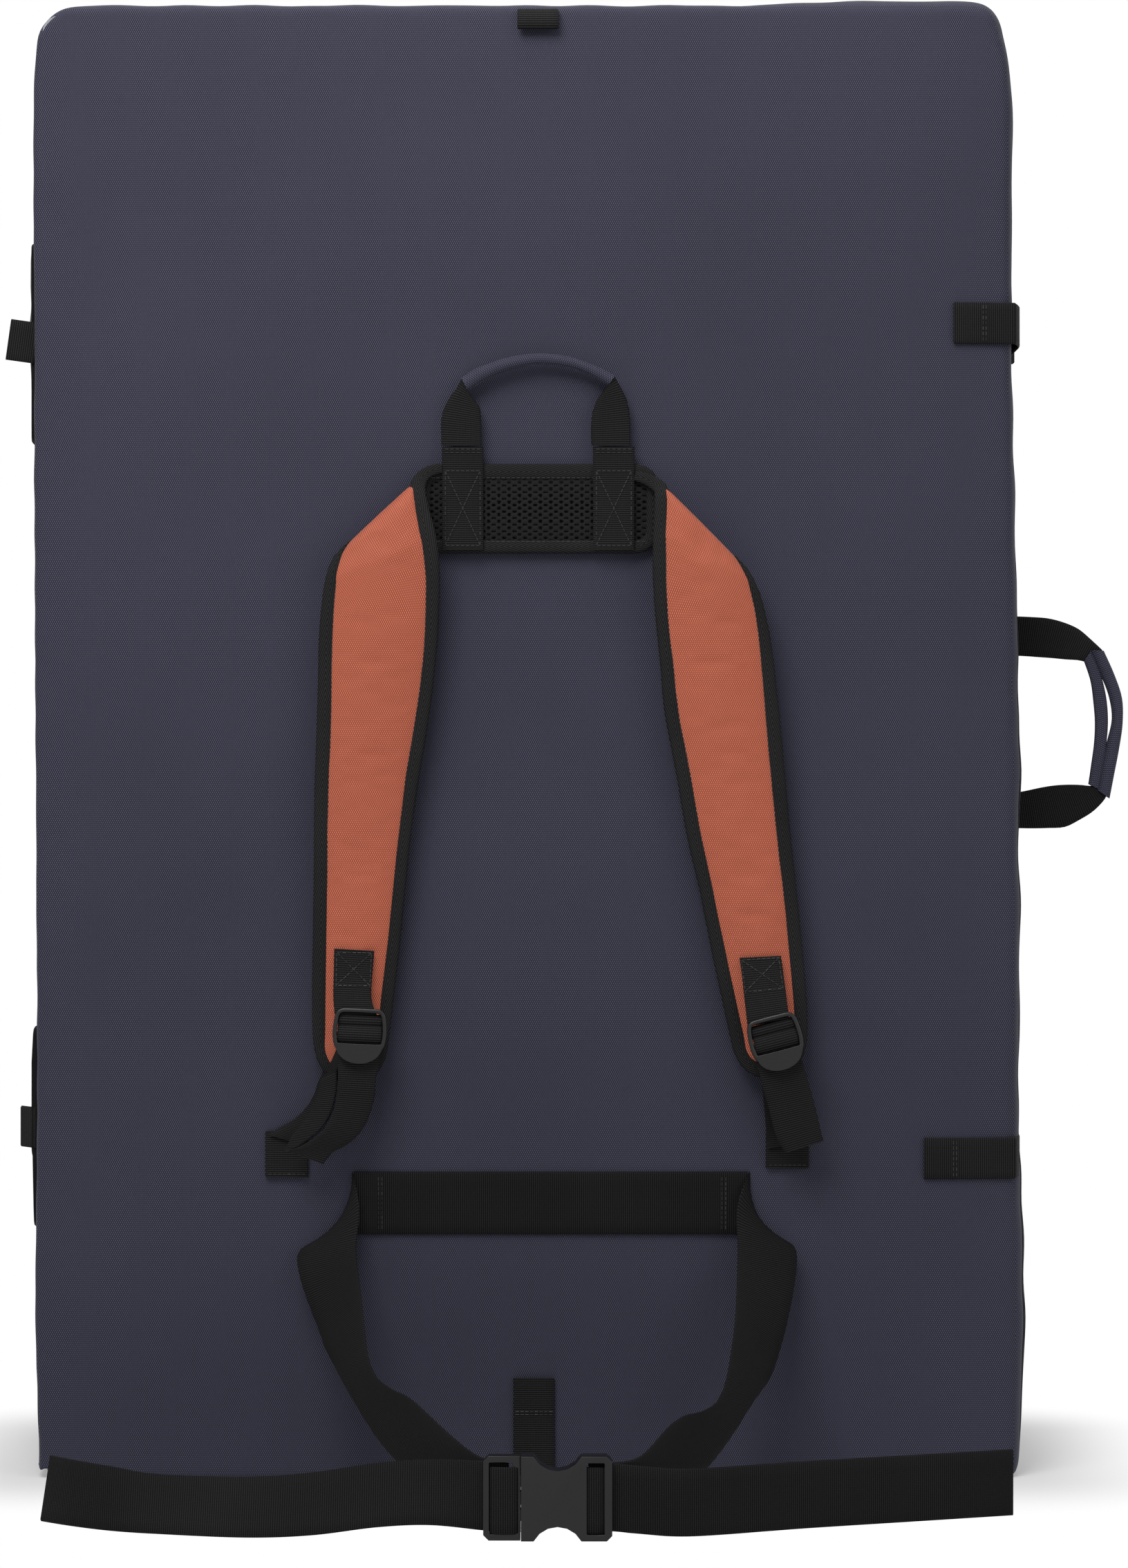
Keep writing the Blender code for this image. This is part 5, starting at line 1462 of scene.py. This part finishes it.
# %% Carry handle
carry_depth = 0.039
leg_thickness = 0.0022
roll_thickness = 0.0085
flat_thickness = 0.0044
carry_body = bodies_of["carry_handle_webbing"]
upper_leg = band(
    "carry_leg_upper", carry_depth,
    [(0.2960, 0.5250), (0.3061, 0.5249), (0.3163, 0.5245), (0.3264, 0.5237), (0.3362, 0.5212),
     (0.3455, 0.5171), (0.3532, 0.5107), (0.3606, 0.5038)],
    [(0.2960, 0.5005), (0.3044, 0.5003), (0.3127, 0.4999), (0.3211, 0.4993), (0.3294, 0.4987),
     (0.3377, 0.4979), (0.3461, 0.4973), (0.3540, 0.4950)],
    leg_thickness, webbing_weave, carry_body, ["carry_handle_webbing"],
)
lower_leg = band(
    "carry_leg_lower", carry_depth,
    [(0.2960, 0.3920), (0.3063, 0.3923), (0.3165, 0.3922), (0.3268, 0.3924), (0.3371, 0.3931),
     (0.3462, 0.3975), (0.3549, 0.4030), (0.3620, 0.4104), (0.3640, 0.4160)],
    [(0.2960, 0.4130), (0.3044, 0.4143), (0.3128, 0.4158), (0.3211, 0.4176), (0.3295, 0.4190),
     (0.3380, 0.4196), (0.3464, 0.4195), (0.3545, 0.4190), (0.3585, 0.4225)],
    leg_thickness, webbing_weave, carry_body,
)
carry_roll = band(
    "carry_sleeve_roll", carry_depth,
    [(0.3524, 0.5038), (0.3585, 0.4900), (0.3642, 0.4759), (0.3664, 0.4610), (0.3632, 0.4461),
     (0.3598, 0.4312), (0.3570, 0.4164)],
    [(0.3615, 0.5033), (0.3680, 0.4888), (0.3729, 0.4737), (0.3733, 0.4579), (0.3711, 0.4422),
     (0.3681, 0.4265), (0.3651, 0.4109)],
    roll_thickness, navy_cloth, carry_body, ["carry_handle_grip"], profile=tube_profile,
)
carry_flat = band(
    "carry_sleeve_flat", carry_depth,
    [(0.3489, 0.4971), (0.3530, 0.4847), (0.3548, 0.4718), (0.3558, 0.4588), (0.3553, 0.4458),
     (0.3536, 0.4329), (0.3517, 0.4200)],
    [(0.3534, 0.5033), (0.3592, 0.4896), (0.3628, 0.4754), (0.3641, 0.4606), (0.3632, 0.4458),
     (0.3612, 0.4311), (0.3589, 0.4164)],
    flat_thickness, navy_cloth, carry_body, profile=tape_profile,
)
print("carry handle:", upper_leg.name, lower_leg.name, carry_roll.name, carry_flat.name)

# %% [markdown]
# The moulded parts already have their outlines, windows and bars in the CAD. A moulded edge is never
# sharp, and its small round catches the light. A copy of each solid gets its loose triangles merged and
# its flat faces joined, and then a fine bevel on every edge.

# %% Moulded parts
moulded_edge = 0.00045


def moulded(node):
    """A CAD solid with every crisp edge rounded."""
    bm = bmesh.new()
    bm.from_mesh(frame["nodes"][node].data)
    bmesh.ops.remove_doubles(bm, verts=bm.verts, dist=1e-6)
    bmesh.ops.dissolve_limit(bm, angle_limit=math.radians(1), verts=bm.verts[:], edges=bm.edges[:])
    crisp = [e for e in bm.edges if e.calc_face_angle(0) > math.radians(25)]
    round_edges(bm, crisp, moulded_edge, 2, clamped=True)
    return make_piece(f"{node}_moulding", bm, moulded_plastic, bodies_of[node], [node], 30)


mouldings = [moulded(n) for n in ("buckle_female", "buckle_male", "upper_hook", "lower_hook")]
print("moulded parts:", [len(o.data.polygons) for o in mouldings])

# %% [markdown]
# A ladder lock is a small frame with a curved lip below. Its top bar lies over the sewn tab, and in its
# window two turns of webbing wrap its two cross bars. The rim is a rounded rod swept up one side, over
# the top and down the other. The lip is a disc pushed into a D shape, given thickness and a rounded edge.
# Each turn of webbing is a ribbon that bends round its bar, so its ribs run along the bar as they do in
# the photograph.

# %% Ladder locks, tabs and strap ends
rim_line = [
    (-0.0112, -0.0092), (-0.0140, -0.0050), (-0.0149, 0.0005), (-0.0148, 0.0060), (-0.0141, 0.0115),
    (-0.0131, 0.0144), (-0.0108, 0.0155),
]
rim_line += [(0.0, 0.0156)] + [(-a, b) for a, b in reversed(rim_line)]
rim_width = 0.0026
rim_thickness = 0.0028
bars = ((0.0080, 0.0104), (-0.0002, 0.0026))
bar_depth = -0.0032
bar_length = 0.029
bar_thickness = 0.0022
lip_radius = 0.0139
lip_top = -0.0042
lip_drop = 0.0120
lip_front = 0.0016
lip_depth = 0.0026
lock_depth = -0.0824
webbing_turns = {"upper": (0.0098, 0.0030, 0.0024), "lower": (0.0014, 0.0053, 0.0032)}
turn_half_width = 0.0133
turn_depth = -0.0034
turn_thickness = 0.0016


def ladder_lock(label, x, z, turn):
    """A ladder lock at (x, z), turned by some degrees, with the webbing round its bars."""
    node = f"{label}_ladder_lock"
    body = bodies_of[node]
    turn = math.radians(turn)
    right = Vector((math.cos(turn), 0, math.sin(turn)))
    up = Vector((-math.sin(turn), 0.10, math.cos(turn))).normalized()
    centre = Vector((x, lock_depth, z))
    front = up.cross(right).normalized()
    if front.dot(FRONT) < 0:
        front = -front

    def at(a, b, c=0.0):
        return centre + right * a + up * b + front * c

    line = even_line([(at(a, b), rim_width, rim_thickness) for a, b in rim_line], 0.0012, 1)
    bm = sweep(turned_to(line, front), tape_profile)
    for low_b, high_b in bars:
        for vert in bmesh.ops.create_cube(bm, size=1)["verts"]:
            a, b, c = vert.co
            height = (low_b + high_b) / 2 + b * (high_b - low_b)
            vert.co = at(a * bar_length, height, c * bar_thickness + bar_depth)
    disc = bmesh.ops.create_circle(bm, cap_ends=True, segments=36, radius=1)["verts"]
    for vert in disc:
        c, s = vert.co.x, vert.co.y
        drop = lip_top if s > -0.05 else lip_top - lip_drop * (-s) ** 0.85
        vert.co = at(lip_radius * c, drop - 0.0003 * max(s, 0), lip_front)
    face = next(f for f in disc[0].link_faces if all(v in f.verts for v in disc[:3]))
    made = bmesh.ops.extrude_face_region(bm, geom=[face])["geom"]
    behind = [g for g in made if isinstance(g, bmesh.types.BMVert)]
    bmesh.ops.translate(bm, verts=behind, vec=-front * lip_depth)
    bmesh.ops.recalc_face_normals(bm, faces=bm.faces)
    piece = make_piece(f"{node}_moulding", bm, moulded_plastic, body, [node], 35)
    edges = piece.modifiers.new("mould_round", "BEVEL")
    edges.width = 0.0005
    edges.segments = 3
    edges.limit_method = "ANGLE"
    edges.angle_limit = math.radians(50)
    apply_modifiers(piece)
    angles = [math.radians(-25 + 23 * k) for k in range(11)]
    for turn_name, (middle, half, reach) in webbing_turns.items():
        arcs = []
        for edge in (-turn_half_width, turn_half_width):
            arc = [at(edge, middle + half * math.cos(a), turn_depth + reach * math.sin(a)) for a in angles]
            arcs.append(arc)
        ribbon(f"{label}_lock_{turn_name}_turn", *arcs, turn_thickness, webbing_weave, body, spacing=0.0012)


ladder_lock("left", -0.0984, 0.2693, -2.4)
ladder_lock("right", 0.1506, 0.2651, 14.6)
strap_ends = {
    "left_strap_tab": (
        [(-0.1141, -0.0722, 0.3214), (-0.1142, -0.0732, 0.3116), (-0.1144, -0.0745, 0.3017),
         (-0.1144, -0.0763, 0.2919), (-0.1134, -0.0788, 0.2822)],
        [(-0.0900, -0.0722, 0.3200), (-0.0908, -0.0732, 0.3104), (-0.0915, -0.0745, 0.3008),
         (-0.0915, -0.0763, 0.2913), (-0.0884, -0.0788, 0.2822)],
    ),
    "left_strap_tail": (
        [(-0.1103, -0.0800, 0.2613), (-0.1114, -0.0797, 0.2529), (-0.1114, -0.0793, 0.2444),
         (-0.1121, -0.0782, 0.2359), (-0.1135, -0.0772, 0.2275), (-0.1165, -0.0763, 0.2196),
         (-0.1213, -0.0753, 0.2125), (-0.1279, -0.0742, 0.2071), (-0.1352, -0.0733, 0.2027),
         (-0.1434, -0.0725, 0.2012)],
        [(-0.0856, -0.0800, 0.2613), (-0.0868, -0.0797, 0.2523), (-0.0889, -0.0793, 0.2435),
         (-0.0894, -0.0782, 0.2345), (-0.0915, -0.0768, 0.2256), (-0.0948, -0.0752, 0.2170),
         (-0.1001, -0.0735, 0.2095), (-0.1070, -0.0718, 0.2036), (-0.1151, -0.0708, 0.1993),
         (-0.1206, -0.0700, 0.1921)],
    ),
    "right_strap_tab": (
        [(0.1287, -0.0722, 0.3159), (0.1301, -0.0732, 0.3057), (0.1311, -0.0745, 0.2956),
         (0.1322, -0.0763, 0.2855), (0.1332, -0.0788, 0.2755)],
        [(0.1536, -0.0722, 0.3171), (0.1548, -0.0732, 0.3077), (0.1560, -0.0745, 0.2983),
         (0.1571, -0.0763, 0.2889), (0.1582, -0.0788, 0.2796)],
    ),
    "right_strap_tail": (
        [(0.1378, -0.0800, 0.2584), (0.1399, -0.0794, 0.2498), (0.1417, -0.0786, 0.2411),
         (0.1442, -0.0772, 0.2325), (0.1465, -0.0759, 0.2239), (0.1487, -0.0748, 0.2153),
         (0.1516, -0.0739, 0.2069), (0.1560, -0.0730, 0.1991)],
        [(0.1640, -0.0800, 0.2615), (0.1663, -0.0794, 0.2537), (0.1686, -0.0786, 0.2459),
         (0.1709, -0.0772, 0.2380), (0.1731, -0.0759, 0.2301), (0.1751, -0.0748, 0.2222),
         (0.1770, -0.0739, 0.2143), (0.1789, -0.0730, 0.2063)],
    ),
}
for node, edges in strap_ends.items():
    webbing_runs[node] = ribbon(
        f"{node}_weave", *edges, webbing_thickness, webbing_weave, bodies_of[node], [node])
left_lower = ribbon(
    "left_lower_webbing_weave",
    [(-0.1133, -0.0640, 0.2645), (-0.1174, -0.0615, 0.2563), (-0.1211, -0.0591, 0.2480),
     (-0.1246, -0.0569, 0.2395), (-0.1278, -0.0558, 0.2310), (-0.1330, -0.0549, 0.2237),
     (-0.1396, -0.0544, 0.2176), (-0.1473, -0.0541, 0.2132), (-0.1548, -0.0540, 0.2088)],
    [(-0.1102, -0.0745, 0.2563), (-0.1120, -0.0732, 0.2490), (-0.1143, -0.0719, 0.2419),
     (-0.1172, -0.0703, 0.2349), (-0.1201, -0.0680, 0.2278), (-0.1233, -0.0653, 0.2209),
     (-0.1272, -0.0615, 0.2141), (-0.1322, -0.0579, 0.2081), (-0.1382, -0.0545, 0.2039)],
    webbing_thickness, webbing_weave, None, ["left_lower_webbing"],
)
reach_to_strap(left_lower)
hem_thickness = 0.0016
ribbon(
    "left_tail_hem",
    [(-0.1214, -0.0735, 0.2433), (-0.1241, -0.0735, 0.2358), (-0.1267, -0.0735, 0.2283),
     (-0.1299, -0.0732, 0.2211), (-0.1350, -0.0730, 0.2149), (-0.1398, -0.0724, 0.2085),
     (-0.1432, -0.0718, 0.2014)],
    [(-0.1120, -0.0765, 0.2476), (-0.1123, -0.0761, 0.2384), (-0.1140, -0.0758, 0.2294),
     (-0.1171, -0.0751, 0.2207), (-0.1222, -0.0745, 0.2132), (-0.1293, -0.0736, 0.2072),
     (-0.1370, -0.0728, 0.2020)],
    hem_thickness, webbing_weave, bodies_of["left_strap_tail"],
)
print("ladder locks, tabs and strap ends made")

# %% [markdown]
# The hip belt's webbing turns round a bar at each side of the buckle, and the turn hides the bar. Each
# turn is a short ribbon that bulges to the front.

# %% Turns at the buckle
turn_back = -0.2512
turn_bulge = 0.0034
turn_bottom = 0.0034
turn_top = 0.0410
buckle_turns = {
    "left_buckle_turn": ("buckle_male", -0.0172, -0.0013),
    "right_buckle_turn": ("right_belt_wing", 0.0332, 0.0481),
}
for name, (node, low_x, high_x) in buckle_turns.items():
    arc = []
    for k in range(11):
        angle = math.pi * k / 10
        x = low_x + (high_x - low_x) * (0.5 - 0.5 * math.cos(angle))
        arc.append((x, turn_back - turn_bulge * math.sin(angle) ** 0.8))
    edges = [[(x, y, z) for x, y in arc] for z in (turn_bottom, turn_top)]
    ribbon(name, *edges, webbing_thickness, belt_weave, bodies_of[node], spacing=0.0015)
print("turns at the buckle made")

# %% [markdown]
# Sewing holds all of this together, and it shows: boxes with a cross at every load-bearing tab, rows
# across the webbing, and a line along each tape. A stitch is a short six-sided bead. Each line of
# stitches is laid on whatever surface is in front there, found with a ray from the viewer's side.

# %% Stitches
def surface_in_front(*pieces):
    """A function that gives the depth of the frontmost of these pieces at (x, z)."""
    graph = bpy.context.evaluated_depsgraph_get()
    trees = [BVHTree.FromObject(p, graph) for p in pieces]

    def depth(x, z):
        found = [t.ray_cast(Vector((x, -0.5, z)), -FRONT)[0] for t in trees]
        found = [hit.y for hit in found if hit]
        return min(found) if found else None

    return depth


def stitch_along(bm, points, pitch=0.0030, length=0.0021, radius=0.00034, lift=FRONT):
    """Beads laid end to end along a line of points."""
    total = sum((b - a).length for a, b in zip(points, points[1:]))
    count = max(1, round(total / pitch))
    travelled = 0.0
    targets = [(k + 0.5) * total / count for k in range(count)]
    for a, b in zip(points, points[1:]):
        span = (b - a).length
        while targets and targets[0] <= travelled + span + 1e-9:
            place = a.lerp(b, (targets.pop(0) - travelled) / max(span, 1e-9))
            turn = (b - a).to_track_quat("Z", "Y").to_matrix().to_4x4()
            spot = Matrix.Translation(place + lift * radius * 0.4) @ turn
            bmesh.ops.create_cone(
                bm, cap_ends=True, segments=6, radius1=radius, radius2=radius, depth=length, matrix=spot,
            )
        travelled += span
    return count


def stitched(name, lines, body, depth=None, step=0.004):
    """A piece made of stitch lines. With a depth function, lines of (x, z) are laid on that surface."""
    bm = bmesh.new()
    count = 0
    for line in lines:
        if depth:
            fine = []
            for (ax, az), (bx, bz) in zip(line, line[1:]):
                parts = max(1, round(math.hypot(bx - ax, bz - az) / step))
                fine += [(ax + (bx - ax) * k / parts, az + (bz - az) * k / parts) for k in range(parts)]
            fine.append(line[-1])
            points = [Vector((x, depth(x, z), z)) for x, z in fine if depth(x, z) is not None]
        else:
            points = line
        if len(points) > 1:
            count += stitch_along(bm, points)
    make_piece(name, bm, black_thread, body, (), 60)
    return count


def cross_box(left, right, low, high):
    """A sewn box with a cross in it, as lines of (x, z)."""
    return [
        [(left, low), (right, low), (right, high), (left, high), (left, low)],
        [(left, low), (right, high)], [(left, high), (right, low)],
    ]


harness_middle = 0.0081
haul_foot_out = 0.0455
haul_box_half = 0.0105
haul_box = (0.5635, 0.6085)
haul_row_half = 0.0112
haul_rows = (0.6195, 0.6215)
patch_columns = (0.1190, 0.1212, -0.0885, -0.0863)
patch_rows = (0.151, 0.183)
total = 0
depth = surface_in_front(yoke_rim)
heights = (yoke_high.z - 0.0085, yoke_low.z + 0.0070)
lines = [[(yoke_low.x + 0.008, z), (yoke_high.x - 0.008, z)] for z in heights]
total += stitched("yoke_tape_stitches", lines, "front_half", depth)
for label, corners in (
    ("left", [(-0.1124, 0.3192), (-0.0917, 0.3188), (-0.0925, 0.2993), (-0.1128, 0.2995)]),
    ("right", [(0.1298, 0.3146), (0.1521, 0.3159), (0.1546, 0.2977), (0.1321, 0.2956)]),
):
    a, b, c, d = corners
    depth = surface_in_front(webbing_runs[f"{label}_strap_tab"])
    total += stitched(f"{label}_tab_stitches", [[a, b, c, d, a], [a, c], [b, d]], f"{label}_strap", depth)
for label, sign in (("left", -1), ("right", 1)):
    x = harness_middle + sign * haul_foot_out
    depth = surface_in_front(webbing_runs[f"{label}_haul_foot"])
    lines = cross_box(x - haul_box_half, x + haul_box_half, *haul_box)
    lines += [[(x - haul_row_half, z), (x + haul_row_half, z)] for z in haul_rows]
    total += stitched(f"{label}_haul_foot_stitches", lines, "front_half", depth)
    low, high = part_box(f"{label}_anchor_tab")
    depth = surface_in_front(webbing_runs[f"{label}_anchor_tab"])
    lines = [[(low.x + 0.0015, low.z + step), (high.x - 0.0015, low.z + step)] for step in (0.0020, 0.0250)]
    total += stitched(f"{label}_anchor_stitches", lines, "front_half", depth)
    line = []
    for middle, side, out, width, thickness in strap_tapes[label][8:-4]:
        line.append(middle - side * sign * width * 0.36 + out * thickness * 0.40)
    total += stitched(f"{label}_tape_stitches", [line], f"{label}_strap")
patch_depth = surface_in_front(webbing_runs["lumbar_patch"])
lines = [[(x, z) for z in patch_rows] for x in patch_columns]
total += stitched("patch_stitches", lines, "front_half", patch_depth)
for label, z, x in (("upper", 0.6987, 0.2770), ("lower", 0.1937, 0.2590)):
    depth = surface_in_front(webbing_runs[f"{label}_closure_strap"])
    lines = [[(x + step, z - 0.0112), (x + step, z + 0.0112)] for step in (0, 0.0018)]
    total += stitched(f"{label}_closure_stitches", lines, "front_half", depth)
depth = surface_in_front(webbing_runs["bottom_strap"])
lines = [[(-0.006, z), (0.017, z)] for z in (0.0390, 0.0408)]
total += stitched("bottom_strap_stitches", lines, "front_half", depth)
print("stitches:", total)

# %% [markdown]
# The last cell prints the box of this scene, the dressed object.

# %% Sizes, and the end
low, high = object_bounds()
print("visual box", tuple(round(c, 4) for c in low), tuple(round(c, 4) for c in high))
